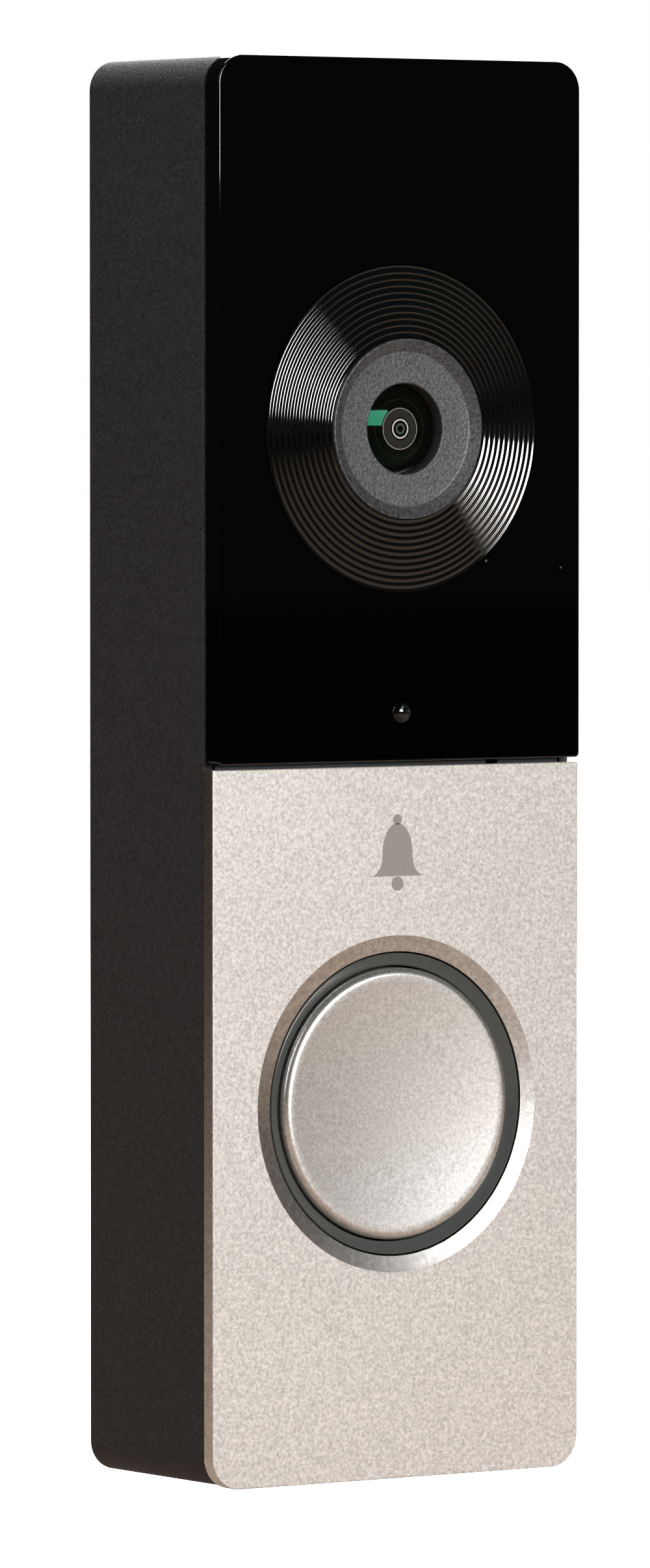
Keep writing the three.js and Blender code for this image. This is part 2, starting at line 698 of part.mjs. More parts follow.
function lightRing() {
  const lip = DEPTH - CHAMFER_DROP;
  const back = mainFront + LIGHT_H + 2 * GAP;
  const flangeFront = frameBack - SEAM;
  const flangeBack = flangeFront - RING_FLANGE_T;
  const profile = [
    [ringBoreR, back], [ringR, back], [ringR, flangeBack], [ringR + RING_FLANGE, flangeBack],
    [ringR + RING_FLANGE, flangeFront], [ringR, flangeFront], [ringR, lip],
    [ringBoreR, lip - RING_SLOPE], [ringBoreR, back],
  ];
  return turned(0, buttonY, profile);
}

/** The finger button: a round edge and a shallow dished face. */
function buttonCap() {
  const profile = [[0, capBack], [CAP_R, capBack], [CAP_R, capFront - CAP_ROUND]];
  const edgeSteps = 3;
  const crestR = CAP_R - CAP_ROUND;
  for (let i = 1; i <= edgeSteps; i += 1) {
    const turn = (i / edgeSteps) * (Math.PI / 2);
    const drop = CAP_ROUND * (1 - Math.sin(turn));
    profile.push([crestR + CAP_ROUND * Math.cos(turn), capFront - drop]);
  }
  const dishSteps = 4;
  for (let i = 1; i <= dishSteps; i += 1) {
    const share = 1 - i / dishSteps;
    profile.push([crestR * share, capFront - CAP_DISH * (1 - share * share)]);
  }
  return turned(0, buttonY, profile);
}

function buttonCarrier() {
  const tip = plungerTop + GAP;
  const disc = CAP_R - CARRIER_INSET;
  const profile = [
    [0, tip], [STEM_R, tip], [STEM_R, carrierBack], [disc, carrierBack], [disc, carrierFront],
    [0, carrierFront],
  ];
  return turned(0, buttonY, profile, FACETS_MID);
}

/** The silicone ring that pushes the button back out. */
function returnBoot() {
  const back = mainFront + SEAM;
  const front = carrierBack - SEAM;
  const inner = BOOT_R - BOOT_WALL;
  const waist = (back + front) / 2;
  const profile = [
    [inner, back], [BOOT_R, back], [BOOT_R - BOOT_WALL / 4, waist], [BOOT_R, front],
    [inner, front], [inner + BOOT_WALL / 4, waist], [inner, back],
  ];
  return turned(0, buttonY, profile, FACETS_MID);
}

function tactSwitch() {
  const back = mainFront + SEAM;
  const body = blockAt(0, buttonY, SWITCH_SIZE, SWITCH_SIZE, back, switchTop);
  const pocket = rod(0, buttonY, SWITCH_PLUNGER_R + GAP, switchTop - SWITCH_POCKET, switchTop + GAP);
  return cut(body, pocket);
}

function switchPlunger() {
  const back = switchTop - SWITCH_POCKET + TRAVEL + GAP;
  return rod(0, buttonY, SWITCH_PLUNGER_R, back, plungerTop);
}

function ringLight(index) {
  const turn = ((index + 0.5) / RING_LIGHTS) * 2 * Math.PI;
  const radius = (ringR + ringBoreR) / 2;
  const [x, y] = [radius * Math.cos(turn), buttonY + radius * Math.sin(turn)];
  return blockAt(x, y, LIGHT_SIZE, LIGHT_SIZE, mainFront + SEAM, mainFront + LIGHT_H);
}

// ---- Main board ----

const mainBoardTop = () => TERMINAL_UP + TERMINAL_H / 2 + 1;
const mainBoardLow = () => -bodyHalfH + MAIN_BOARD_LOW;

function mainBoard() {
  const shape = roundedRect(-boardHalfW, boardHalfW, mainBoardLow(), mainBoardTop(), [1, 1, 1, 1]);
  return slab(shape, mainBack, mainFront, 3);
}

function processorShield() {
  const back = mainFront + SEAM;
  const y = shieldY;
  const shape = roundedRect(
    -SHIELD_W / 2, SHIELD_W / 2, y - SHIELD_H / 2, y + SHIELD_H / 2, [0.8, 0.8, 0.8, 0.8],
  );
  const well = blockAt(0, y, SHIELD_W - 1, SHIELD_H - 1, back - SEAM, back + SHIELD_T - GAP);
  return cut(slab(shape, back, back + SHIELD_T, 3), well);
}

function heatSpreader() {
  const back = floorFront + GAP;
  const y = buttonY + SPREADER_ABOVE_BUTTON;
  const shape = roundedRect(
    -SPREADER_W / 2, SPREADER_W / 2 - 4, y - SPREADER_H / 2, y + SPREADER_H / 2, [2, 2, 2, 2],
  );
  return slab(shape, back, back + SPREADER_T, 3);
}

function thermalPad() {
  const back = floorFront + GAP + SPREADER_T + SEAM;
  return blockAt(-2, shieldY, PAD_SIZE, PAD_SIZE * 0.7, back, mainBack - SEAM);
}

function backupCell() {
  const back = floorFront + GAP;
  const y = bodyHalfH - CELL_FROM_TOP;
  const shape = roundedRect(
    -CELL_W / 2, CELL_W / 2, y - CELL_H / 2, y + CELL_H / 2, [1.5, 1.5, 1.5, 1.5],
  );
  return slab(shape, back, back + CELL_T, 3);
}

function terminalBlock() {
  const block = blockAt(0, TERMINAL_UP, TERMINAL_W, TERMINAL_H, terminalBack, mainBack - SEAM);
  const tip = terminalBack + TERMINAL_SHANK_L + GAP;
  const holes = [-1, 1].map((side) => rod(
    (side * TERMINAL_PITCH) / 2, terminalScrewY, TERMINAL_SHANK_R + GAP, terminalBack - GAP, tip,
  ));
  return cut(block, ...holes);
}

function terminalClamp(side) {
  const x = (side * TERMINAL_PITCH) / 2;
  const front = terminalBack - SEAM;
  const size = TERMINAL_CLAMP;
  const plate = blockAt(x, terminalScrewY, size, size, front - TERMINAL_CLAMP_T, front);
  const hole = rod(
    x, terminalScrewY, TERMINAL_SHANK_R + SEAM, front - TERMINAL_CLAMP_T - GAP, front + GAP,
  );
  return cut(plate, hole);
}

/** A slotted pan head towards the wall, shank into the block. */
function terminalScrew(side) {
  const x = (side * TERMINAL_PITCH) / 2;
  const headFront = terminalBack - 2 * SEAM - TERMINAL_CLAMP_T;
  const headBack = headFront - TERMINAL_HEAD_T;
  const profile = [
    [0, headBack], [TERMINAL_HEAD_R * 0.8, headBack], [TERMINAL_HEAD_R, headBack + GAP],
    [TERMINAL_HEAD_R, headFront], [TERMINAL_SHANK_R, headFront],
    [TERMINAL_SHANK_R, terminalBack + TERMINAL_SHANK_L], [0, terminalBack + TERMINAL_SHANK_L],
  ];
  const slot = blockAt(
    x, terminalScrewY, TERMINAL_HEAD_R * 2.2, 0.7, headBack - GAP, headBack + TERMINAL_HEAD_T / 2,
  );
  return cut(turned(x, terminalScrewY, profile, FACETS_FINE), slot);
}

// ---- Speaker, which fires down through the housing's end ----

const speakerLow = () => -bodyHalfH + WALL + SPEAKER_GASKET_T + 2 * SEAM;

function speakerFrame() {
  const middle = speakerMiddle();
  const low = speakerLow();
  const half = speakerHalfW;
  const body = block(
    -half, half, low, low + SPEAKER_H, middle - SPEAKER_T / 2, middle + SPEAKER_T / 2,
  );
  const basket = block(
    -half + SPEAKER_WALL, half - SPEAKER_WALL, low - GAP, low + SPEAKER_H - SPEAKER_WALL,
    middle - SPEAKER_T / 2 + SPEAKER_WALL, middle + SPEAKER_T / 2 - SPEAKER_WALL,
  );
  return cut(body, basket);
}

function speakerDiaphragm() {
  const middle = speakerMiddle();
  const low = speakerLow() + GAP;
  const inset = SPEAKER_WALL + SEAM;
  const half = speakerHalfW - inset;
  const deep = SPEAKER_T / 2 - inset;
  const sheet = block(-half, half, low, low + DIAPHRAGM_T, middle - deep, middle + deep);
  const crown = block(
    -half * 0.7, half * 0.7, low + DIAPHRAGM_T / 2, low + 2 * DIAPHRAGM_T,
    middle - deep * 0.6, middle + deep * 0.6,
  );
  return joined(sheet, crown);
}

function speakerMagnet() {
  const middle = speakerMiddle();
  const top = speakerLow() + SPEAKER_H - SPEAKER_WALL - SEAM;
  const half = speakerHalfW - MAGNET_IN;
  const deep = SPEAKER_T / 2 - SPEAKER_WALL - GAP;
  return block(-half, half, top - MAGNET_H, top, middle - deep, middle + deep);
}

function speakerGasket() {
  const middle = speakerMiddle();
  const low = -bodyHalfH + WALL + SEAM;
  const half = speakerHalfW;
  const deep = SPEAKER_T / 2;
  const pad = block(-half, half, low, low + SPEAKER_GASKET_T, middle - deep, middle + deep);
  const hole = block(
    -half + SPEAKER_WALL, half - SPEAKER_WALL, low - GAP, low + SPEAKER_GASKET_T + GAP,
    middle - deep + SPEAKER_WALL, middle + deep - SPEAKER_WALL,
  );
  return cut(pad, hole);
}

// ---- Reset button, pressed from behind ----

function resetButton() {
  const flangeBack = floorFront + SEAM;
  const flangeFront = flangeBack + RESET_FLANGE_T;
  const nub = mainBack - SEAM - RESET_SWITCH_H - RESET_TRAVEL - SEAM;
  const profile = [
    [0, floorBack], [RESET_R, floorBack], [RESET_R, flangeBack], [RESET_FLANGE_R, flangeBack],
    [RESET_FLANGE_R, flangeFront], [RESET_NUB_R, flangeFront], [RESET_NUB_R, nub], [0, nub],
  ];
  return turned(RESET_X, resetY(), profile, FACETS_FINE);
}

function resetSwitch() {
  const front = mainBack - SEAM;
  const size = RESET_SWITCH_SIZE;
  return blockAt(RESET_X, resetY(), size, size, front - RESET_SWITCH_H, front);
}

// ---- Wall bracket ----

/** A plate with an upright flange, screw slots, a cable window, a hook and a screw tab. */
function wallBracket() {
  const side = REAR_RIM + BRACKET_SIDE;
  const top = bodyHalfH - side;
  const tray = outlineSlab(side, 0, bracketFront);
  const hollow = outlineSlab(side + BRACKET_FLANGE_T, BRACKET_T, bracketFront + GAP);
  const tab = block(
    -TAB_W / 2, TAB_W / 2, -top + BRACKET_FLANGE_T / 2, -top + TAB_L, BRACKET_T / 2, bracketFront,
  );
  const hook = block(
    -HOOK_W / 2, HOOK_W / 2, top - BRACKET_FLANGE_T, top + BRACKET_SIDE + HOOK_REACH,
    bracketFront - HOOK_T, bracketFront,
  );
  const cutHalfW = TERMINAL_W / 2 + WINDOW_CUT_CLEAR;
  const cableWindow = block(
    -cutHalfW, cutHalfW, TERMINAL_UP - WINDOW_CUT_LOW, TERMINAL_UP + WINDOW_CUT_HIGH,
    -GAP, BRACKET_T + GAP,
  );
  const slots = [-1, 1].map((sy) => screwSlot(sy * (bodyHalfH - SLOT_FROM_END)));
  const lockHole = solidOf(
    new THREE.CylinderGeometry(LOCK_SCREW_R + GAP, LOCK_SCREW_R + GAP, 2 * LOCK_LENGTH, FACETS_FINE)
      .translate(0, -top, lockZ),
  );
  const bracket = joined(cut(tray, hollow), tab, hook);
  return cut(bracket, cableWindow, ...slots, lockHole);
}

function screwSlot(y) {
  const r = SLOT_W / 2;
  const half = SLOT_L / 2;
  return slab(roundedRect(-r, r, y - half, y + half, [r, r, r, r]), -GAP, BRACKET_T + GAP);
}

/** The screw in the lower end that locks the doorbell onto its bracket. */
function securityScrew() {
  const low = -bodyHalfH + SEAM;
  const points = [
    [0, low], [LOCK_HEAD_R, low], [LOCK_HEAD_R, low + LOCK_HEAD_T - SEAM],
    [LOCK_SCREW_R, low + LOCK_HEAD_T - SEAM], [LOCK_SCREW_R, low + LOCK_LENGTH],
    [0, low + LOCK_LENGTH],
  ];
  const lathe = new THREE.LatheGeometry(points.map(([r, y]) => new THREE.Vector2(r, y)), FACETS_FINE);
  const socket = new THREE.CylinderGeometry(LOCK_SCREW_R * 0.7, LOCK_SCREW_R * 0.7, LOCK_HEAD_T, 6);
  return cut(
    solidOf(lathe.translate(0, 0, lockZ)),
    solidOf(socket.translate(0, low, lockZ)),
  );
}

function rearGasket() {
  const back = terminalBack + SEAM;
  const front = floorBack - SEAM;
  const w = TERMINAL_W + 2 * (GAP + REAR_GASKET_W);
  const h = TERMINAL_H + 2 * (GAP + REAR_GASKET_W);
  const pad = blockAt(0, TERMINAL_UP, w, h, front - REAR_GASKET_T, front);
  const hole = blockAt(0, TERMINAL_UP, TERMINAL_W + GAP, TERMINAL_H + GAP, back - GAP, front + GAP);
  return cut(pad, hole);
}

// ---- Assembly ----

addPiece("rear_housing", "housing", rearHousing());
addPiece("housing_seal", "seal", housingSeal());
addPiece("front_frame", "blackPlastic", frontFrame());
cornerPlaces().forEach(([x, y], i) => addPiece(`housing_screw_${i + 1}`, "steel", housingScrew(x, y)));
addPiece("camera_window", "gloss", cameraWindow());
addPiece("faceplate", "nickel", faceplate());
addPiece("lens_shroud", "gloss", lensShroud());
addPiece("lens_bezel", "bezel", lensBezel());
addPiece("lens_barrel", "blackPlastic", lensBarrel());
addPiece("aperture_ring", "bezel", apertureRing());
addPiece("front_lens", "glass", frontLens());
addPiece("rear_lens", "glass", rearLens());
addPiece("lens_holder", "blackPlastic", lensHolder());
addPiece("image_sensor", "chip", imageSensor());
addPiece("camera_board", "board", cameraBoard());
emitterPlaces().forEach(([x, y], i) => addPiece(`infrared_emitter_${i + 1}`, "chip", infraredEmitter(x, y)));
addPiece("sensor_lens", "glass", sensorLens());
addPiece("light_sensor", "chip", lightSensor());
addPiece("microphone", "steel", microphone());
addPiece("microphone_boot", "seal", microphoneBoot());
addPiece("antenna", "brass", antenna());
addPiece("camera_ribbon", "ribbon", cameraRibbon());
addPiece("light_ring", "smoke", lightRing());
addPiece("button_cap", "nickel", buttonCap());
addPiece("button_carrier", "blackPlastic", buttonCarrier());
addPiece("return_boot", "seal", returnBoot());
addPiece("tact_switch", "chip", tactSwitch());
addPiece("switch_plunger", "lamp", switchPlunger());
for (let i = 0; i < RING_LIGHTS; i += 1) {
  addPiece(`ring_light_${i + 1}`, "lamp", ringLight(i));
}
addPiece("main_board", "board", mainBoard());
addPiece("processor_shield", "steel", processorShield());
addPiece("heat_spreader", "aluminium", heatSpreader());
addPiece("thermal_pad", "seal", thermalPad());
addPiece("backup_cell", "foil", backupCell());
addPiece("terminal_block", "blackPlastic", terminalBlock());
addPiece("terminal_clamp_left", "brass", terminalClamp(-1));
addPiece("terminal_clamp_right", "brass", terminalClamp(1));
addPiece("terminal_screw_left", "brass", terminalScrew(-1));
addPiece("terminal_screw_right", "brass", terminalScrew(1));
addPiece("rear_gasket", "seal", rearGasket());
addPiece("speaker_frame", "blackPlastic", speakerFrame());
addPiece("speaker_diaphragm", "chip", speakerDiaphragm());
addPiece("speaker_magnet", "steel", speakerMagnet());
addPiece("speaker_gasket", "seal", speakerGasket());
addPiece("reset_button", "lamp", resetButton());
addPiece("reset_switch", "chip", resetSwitch());
addPiece("wall_bracket", "steel", wallBracket());
addPiece("security_screw", "steel", securityScrew());

export default doorbell;
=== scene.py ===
"""The looks of a wall-mounted video doorbell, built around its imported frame, in metres.

X is to the right seen from the front, -Y points out from the wall, and +Z is up.
"""

import json
import logging
import math
from collections.abc import Callable, Iterator
from contextlib import contextmanager
from dataclasses import dataclass, field
from enum import Enum

import bmesh
import bpy
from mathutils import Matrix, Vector

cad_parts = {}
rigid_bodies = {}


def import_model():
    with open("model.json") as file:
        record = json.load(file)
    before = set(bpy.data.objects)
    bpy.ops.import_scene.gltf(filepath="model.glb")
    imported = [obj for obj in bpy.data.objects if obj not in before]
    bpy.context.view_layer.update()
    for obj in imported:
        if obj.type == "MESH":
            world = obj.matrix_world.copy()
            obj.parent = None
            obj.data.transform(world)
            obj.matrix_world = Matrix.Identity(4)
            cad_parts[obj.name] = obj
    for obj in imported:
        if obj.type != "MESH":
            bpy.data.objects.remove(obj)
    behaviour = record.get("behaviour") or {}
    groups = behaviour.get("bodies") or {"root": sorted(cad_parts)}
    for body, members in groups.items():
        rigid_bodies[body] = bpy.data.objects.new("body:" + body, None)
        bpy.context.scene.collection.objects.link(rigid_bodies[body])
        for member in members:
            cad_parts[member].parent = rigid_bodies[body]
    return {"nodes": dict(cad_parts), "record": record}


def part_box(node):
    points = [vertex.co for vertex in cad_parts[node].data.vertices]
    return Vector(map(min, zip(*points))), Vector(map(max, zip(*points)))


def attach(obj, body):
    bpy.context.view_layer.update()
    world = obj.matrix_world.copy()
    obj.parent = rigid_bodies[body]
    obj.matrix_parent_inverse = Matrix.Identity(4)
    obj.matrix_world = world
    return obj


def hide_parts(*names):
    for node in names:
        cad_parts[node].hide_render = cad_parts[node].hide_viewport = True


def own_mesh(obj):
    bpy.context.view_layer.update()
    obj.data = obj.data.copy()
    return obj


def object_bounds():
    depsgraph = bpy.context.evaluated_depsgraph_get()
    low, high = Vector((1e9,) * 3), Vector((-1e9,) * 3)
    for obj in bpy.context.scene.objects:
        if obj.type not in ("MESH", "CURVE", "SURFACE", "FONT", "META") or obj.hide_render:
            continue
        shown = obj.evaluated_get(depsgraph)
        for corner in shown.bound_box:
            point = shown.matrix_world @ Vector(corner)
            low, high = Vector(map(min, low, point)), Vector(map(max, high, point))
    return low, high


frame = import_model()
CAD_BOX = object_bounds()

LOG = logging.getLogger("doorbell")
MM = 0.001
FULL_TURN = 2 * math.pi
WELD = 1e-6
FLAT = 0.9999  # the least cosine between a flat end face and its axis
CASE = "case"
BUTTON = "button"
GAP = 0.3 * MM  # between neighbours inside the case
SEAM = 0.1 * MM  # between the outside pieces
RING_FLANGE = 1.0 * MM  # how far the light ring's flange stands out behind the faceplate
FINE_TURN = 224  # steps round a large, glossy piece
WHITE = (1.0, 1.0, 1.0, 1.0)
UPRIGHT = (math.pi / 2, 0, 0)  # turns a flat primitive to face the front

NEAR = 1e-5  # how far a vertex may stand from where it is looked for
ROUND_PROFILE = 0.5

Colour = tuple[float, float, float]
Point = tuple[float, float, float]
Pair = tuple[float, float]
Ring = tuple[float, float, Colour]  # a ring's radius, width and colour
Value = bpy.types.NodeSocket | float
Tree = bpy.types.NodeTree


# ---- Finishes ----


class Pattern(Enum):
    """The surface patterns that a finish can have."""

    GRAIN = "moulded_grain"
    BLAST = "bead_blast"
    POLISH = "polish_specks"
    TRACKS = "board_tracks"


@dataclass(frozen=True)
class Finish:
    """One finish: its two colours, its gloss and its pattern.

    size is the pattern's grain in metres, and relief the height of its bump in metres.
    """

    base: Colour
    fleck: Colour
    rough: tuple[float, float]
    pattern: Pattern = Pattern.GRAIN
    size: float = 0.3 * MM
    relief: float = 0.01 * MM
    metallic: float = 0.0
    specular: float = 0.5
    tint: Colour = (1.0, 1.0, 1.0)
    transmission: float = 0.0
    edge: float = 0.0


FINISHES: dict[str, Finish] = {
    "housing_black": Finish(
        base=(0.0010, 0.0010, 0.0012), fleck=(0.050, 0.051, 0.056), rough=(0.50, 0.66),
        size=0.34 * MM, relief=0.07 * MM, specular=0.4, edge=0.25,
    ),
    "window_gloss": Finish(
        base=(0.0005, 0.0005, 0.0005), fleck=(0.08, 0.08, 0.08), rough=(0.03, 0.30),
        pattern=Pattern.POLISH, size=3.4 * MM, relief=0.0,
    ),
    "satin_nickel": Finish(
        base=(0.59, 0.57, 0.55), fleck=(1.0, 0.97, 0.94), rough=(0.27, 0.30),
        pattern=Pattern.BLAST, size=0.34 * MM, relief=0.002 * MM, metallic=0.55,
    ),
    "bezel_grey": Finish(
        base=(0.022, 0.024, 0.027), fleck=(0.095, 0.099, 0.106), rough=(0.34, 0.44),
        pattern=Pattern.BLAST, size=0.30 * MM, relief=0.012 * MM, metallic=0.30,
    ),
    "smoke_clear": Finish(
        base=(0.058, 0.063, 0.060), fleck=(0.068, 0.074, 0.071), rough=(0.15, 0.20),
        size=0.8 * MM, relief=0.0,
    ),
    "inner_plastic": Finish(
        base=(0.010, 0.010, 0.011), fleck=(0.02, 0.02, 0.021), rough=(0.45, 0.60), edge=0.15,
    ),
    "lens_glass": Finish(
        base=(0.90, 0.95, 0.93), fleck=(0.94, 0.97, 0.96), rough=(0.0, 0.02), size=2.0 * MM,
        relief=0.0, transmission=1.0,
    ),
    "soft_seal": Finish(
        base=(0.030, 0.030, 0.032), fleck=(0.05, 0.05, 0.052), rough=(0.70, 0.90), size=0.5 * MM,
    ),
    "circuit_board": Finish(
        base=(0.006, 0.085, 0.030), fleck=(0.02, 0.19, 0.07), rough=(0.30, 0.45),
        pattern=Pattern.TRACKS, size=1.1 * MM, relief=0.015 * MM,
    ),
    "chip_black": Finish(
        base=(0.012, 0.012, 0.014), fleck=(0.03, 0.03, 0.033), rough=(0.30, 0.45), size=0.15 * MM,
    ),
    "bright_steel": Finish(
        base=(0.46, 0.47, 0.48), fleck=(0.62, 0.63, 0.65), rough=(0.26, 0.44),
        pattern=Pattern.BLAST, size=0.35 * MM, relief=0.004 * MM, metallic=1.0, edge=0.25,
    ),
    "bare_brass": Finish(
        base=(0.60, 0.40, 0.13), fleck=(0.74, 0.53, 0.20), rough=(0.22, 0.40),
        pattern=Pattern.BLAST, size=0.4 * MM, relief=0.004 * MM, metallic=1.0, edge=0.25,
    ),
    "spreader_metal": Finish(
        base=(0.60, 0.61, 0.62), fleck=(0.72, 0.73, 0.74), rough=(0.28, 0.44),
        pattern=Pattern.BLAST, size=0.3 * MM, relief=0.004 * MM, metallic=1.0,
    ),
    "pale_lamp": Finish(
        base=(0.80, 0.78, 0.68), fleck=(0.88, 0.86, 0.78), rough=(0.35, 0.50), size=0.5 * MM,
    ),
    "cell_wrap": Finish(
        base=(0.07, 0.16, 0.33), fleck=(0.10, 0.21, 0.40), rough=(0.30, 0.50), size=2.0 * MM,
        relief=0.03 * MM,
    ),
    "film_copper": Finish(
        base=(0.42, 0.20, 0.05), fleck=(0.52, 0.27, 0.08), rough=(0.30, 0.45), size=0.6 * MM,
    ),
    # further finishes, which pieces of the slots above wear
    "cut_nickel": Finish(
        base=(0.59, 0.57, 0.55), fleck=(0.92, 0.895, 0.87), rough=(0.22, 0.25),
        pattern=Pattern.BLAST, size=0.46 * MM, relief=0.002 * MM, metallic=1.0,
    ),
    "cap_nickel": Finish(
        base=(0.65, 0.63, 0.606), fleck=(0.985, 0.965, 0.94), rough=(0.29, 0.315),
        pattern=Pattern.BLAST, size=0.34 * MM, relief=0.002 * MM, metallic=0.92,
    ),
    "sign_print": Finish(
        base=(0.21, 0.19, 0.18), fleck=(0.26, 0.24, 0.23), rough=(0.5, 0.62), size=0.25 * MM,
    ),
    "turned_gloss": Finish(
        base=(0.0010, 0.0010, 0.0010), fleck=(0.002, 0.002, 0.002), rough=(0.04, 0.07),
        size=0.9 * MM, relief=0.0, specular=0.9,
    ),
    "coated_element": Finish(
        base=(0.0018, 0.0020, 0.0014), fleck=(0.003, 0.0034, 0.0024), rough=(0.03, 0.05),
        relief=0.0, size=2 * MM, specular=0.35, tint=(0.026, 0.26, 0.14),
    ),
}


IOR = 1.5
WIDE_DETAIL, NARROW_DETAIL, CLOUD_DETAIL = 2.0, 1.0, 3.0  # octaves of the noises
CLOUD_SCALE = 0.02  # the cloud's frequency as a share of the grain's
SPECK_SIZE = 0.035  # in cells
SPECK_PATCH, SPECK_RARITY = 95.0, 0.54  # the noise that says where specks lie, and its least value
SPECK_CLOUD, TRACK_CLOUD = 60.0, 120.0
TRACK_PITCH, TRACK_GAP = 0.12, 0.07  # in cells
EDGE_SAMPLES, EDGE_GAIN = 4, 5.0
EDGE_PALER, EDGE_LIFT = 2.2, 0.01  # how much paler a worn edge is than its finish


class FinishShop:
    """Makes each finish's material once, from shared groups of pattern nodes."""

    def __init__(self) -> None:
        """Builds the shared groups."""
        self.materials: dict[str, bpy.types.Material] = {}
        self.groups = {
            Pattern.GRAIN: self.noise_group(Pattern.GRAIN.value, fine=3.0, share=0.5, contrast=2.2),
            Pattern.BLAST: self.noise_group(Pattern.BLAST.value, fine=2.3, share=0.4, contrast=3.4),
            Pattern.POLISH: self.speck_group(),
            Pattern.TRACKS: self.track_group(),
        }
        self.edges = self.edge_group()

    @staticmethod
    def new_group(name: str, inputs: list[str], outputs: list[str]) -> tuple:
        """Starts a node group with number sockets.

        Args:
            name: the group's name.
            inputs: the names of its inputs.
            outputs: the names of its outputs.

        Returns:
            The tree, its input node and its output node.
        """
        tree = bpy.data.node_groups.new(name, "ShaderNodeTree")
        for label in inputs:
            tree.interface.new_socket(label, in_out="INPUT", socket_type="NodeSocketFloat")
        for label in outputs:
            tree.interface.new_socket(label, in_out="OUTPUT", socket_type="NodeSocketFloat")
        return tree, tree.nodes.new("NodeGroupInput"), tree.nodes.new("NodeGroupOutput")

    @staticmethod
    def feed(tree: Tree, socket: bpy.types.NodeSocket, value: Value | Colour) -> None:
        """Links a socket to an output, or sets it to a number or an opaque colour.

        Args:
            tree: the tree that both are in.
            socket: the socket to feed.
            value: the output, the number or the colour.
        """
        if isinstance(value, bpy.types.NodeSocket):
            tree.links.new(value, socket)
        else:
            socket.default_value = (*value, 1.0) if isinstance(value, tuple) else value

    @staticmethod
    def math(tree: Tree, kind: str, first: Value, second: Value) -> bpy.types.NodeSocket:
        """Adds a Math node.

        Args:
            tree: the tree to add it to.
            kind: its operation.
            first: its first value.
            second: its second value.

        Returns:
            Its output.
        """
        node = tree.nodes.new("ShaderNodeMath")
        node.operation = kind
        FinishShop.feed(tree, node.inputs[0], first)
        FinishShop.feed(tree, node.inputs[1], second)
        return node.outputs[0]

    @staticmethod
    def blend(tree: Tree, share: bpy.types.NodeSocket, low: Value | Colour,
              high: Value | Colour) -> bpy.types.NodeSocket:
        """Mixes two colours.

        Args:
            tree: the tree to work in.
            share: the second colour's share.
            low: the first colour.
            high: the second colour.

        Returns:
            The mixed colour's output.
        """
        node = tree.nodes.new("ShaderNodeMix")
        node.data_type = "RGBA"
        tree.links.new(share, node.inputs["Factor"])
        FinishShop.feed(tree, node.inputs[6], low)
        FinishShop.feed(tree, node.inputs[7], high)
        return node.outputs[2]

    @staticmethod
    def noise(tree: Tree, scale: Value, detail: float) -> bpy.types.NodeSocket:
        """Adds a noise texture on object coordinates.

        Args:
            tree: the tree to add it to.
            scale: its frequency.
            detail: its octaves.

        Returns:
            Its value.
        """
        place = tree.nodes.new("ShaderNodeTexCoord")
        node = tree.nodes.new("ShaderNodeTexNoise")
        node.inputs["Detail"].default_value = detail
        tree.links.new(place.outputs["Object"], node.inputs["Vector"])
        FinishShop.feed(tree, node.inputs["Scale"], scale)
        return node.outputs[0]

    def noise_group(self, name: str, fine: float, share: float, contrast: float) -> Tree:
        """Makes a grain from two noises, one finer than the other.

        Args:
            name: the group's name.
            fine: how many times finer the second noise is.
            share: the second noise's share of the grain.
            contrast: how strongly light and dark flecks stand apart.

        Returns:
            The node group, with the outputs Fleck and Cloud.
        """
        tree, ins, outs = self.new_group(name, ["Scale"], ["Fleck", "Cloud"])
        scale = ins.outputs["Scale"]
        wide = self.noise(tree, scale, WIDE_DETAIL)
        narrow = self.noise(tree, self.math(tree, "MULTIPLY", scale, fine), NARROW_DETAIL)
        wide_part = self.math(tree, "MULTIPLY", wide, 1 - share)
        grain = self.math(tree, "ADD", wide_part, self.math(tree, "MULTIPLY", narrow, share))
        centred = self.math(tree, "SUBTRACT", grain, 0.5)
        spread = self.math(tree, "MULTIPLY", centred, contrast)
        fleck = tree.nodes.new("ShaderNodeClamp")
        tree.links.new(self.math(tree, "ADD", spread, 0.5), fleck.inputs["Value"])
        tree.links.new(fleck.outputs[0], outs.inputs["Fleck"])
        cloud = self.noise(tree, self.math(tree, "MULTIPLY", scale, CLOUD_SCALE), CLOUD_DETAIL)
        tree.links.new(cloud, outs.inputs["Cloud"])
        return tree

    def cells(self, pattern: Pattern, metric: str) -> tuple:
        """Starts a pattern's group with a Voronoi texture on object coordinates.

        Args:
            pattern: the pattern.
            metric: how the texture measures distance.

        Returns:
            The tree, the distance to a cell's point, and the group's output node.
        """
        tree, ins, outs = self.new_group(pattern.value, ["Scale"], ["Fleck", "Cloud"])
        place = tree.nodes.new("ShaderNodeTexCoord")
        cells = tree.nodes.new("ShaderNodeTexVoronoi")
        cells.distance = metric
        tree.links.new(place.outputs["Object"], cells.inputs["Vector"])
        tree.links.new(ins.outputs["Scale"], cells.inputs["Scale"])
        return tree, cells.outputs["Distance"], outs

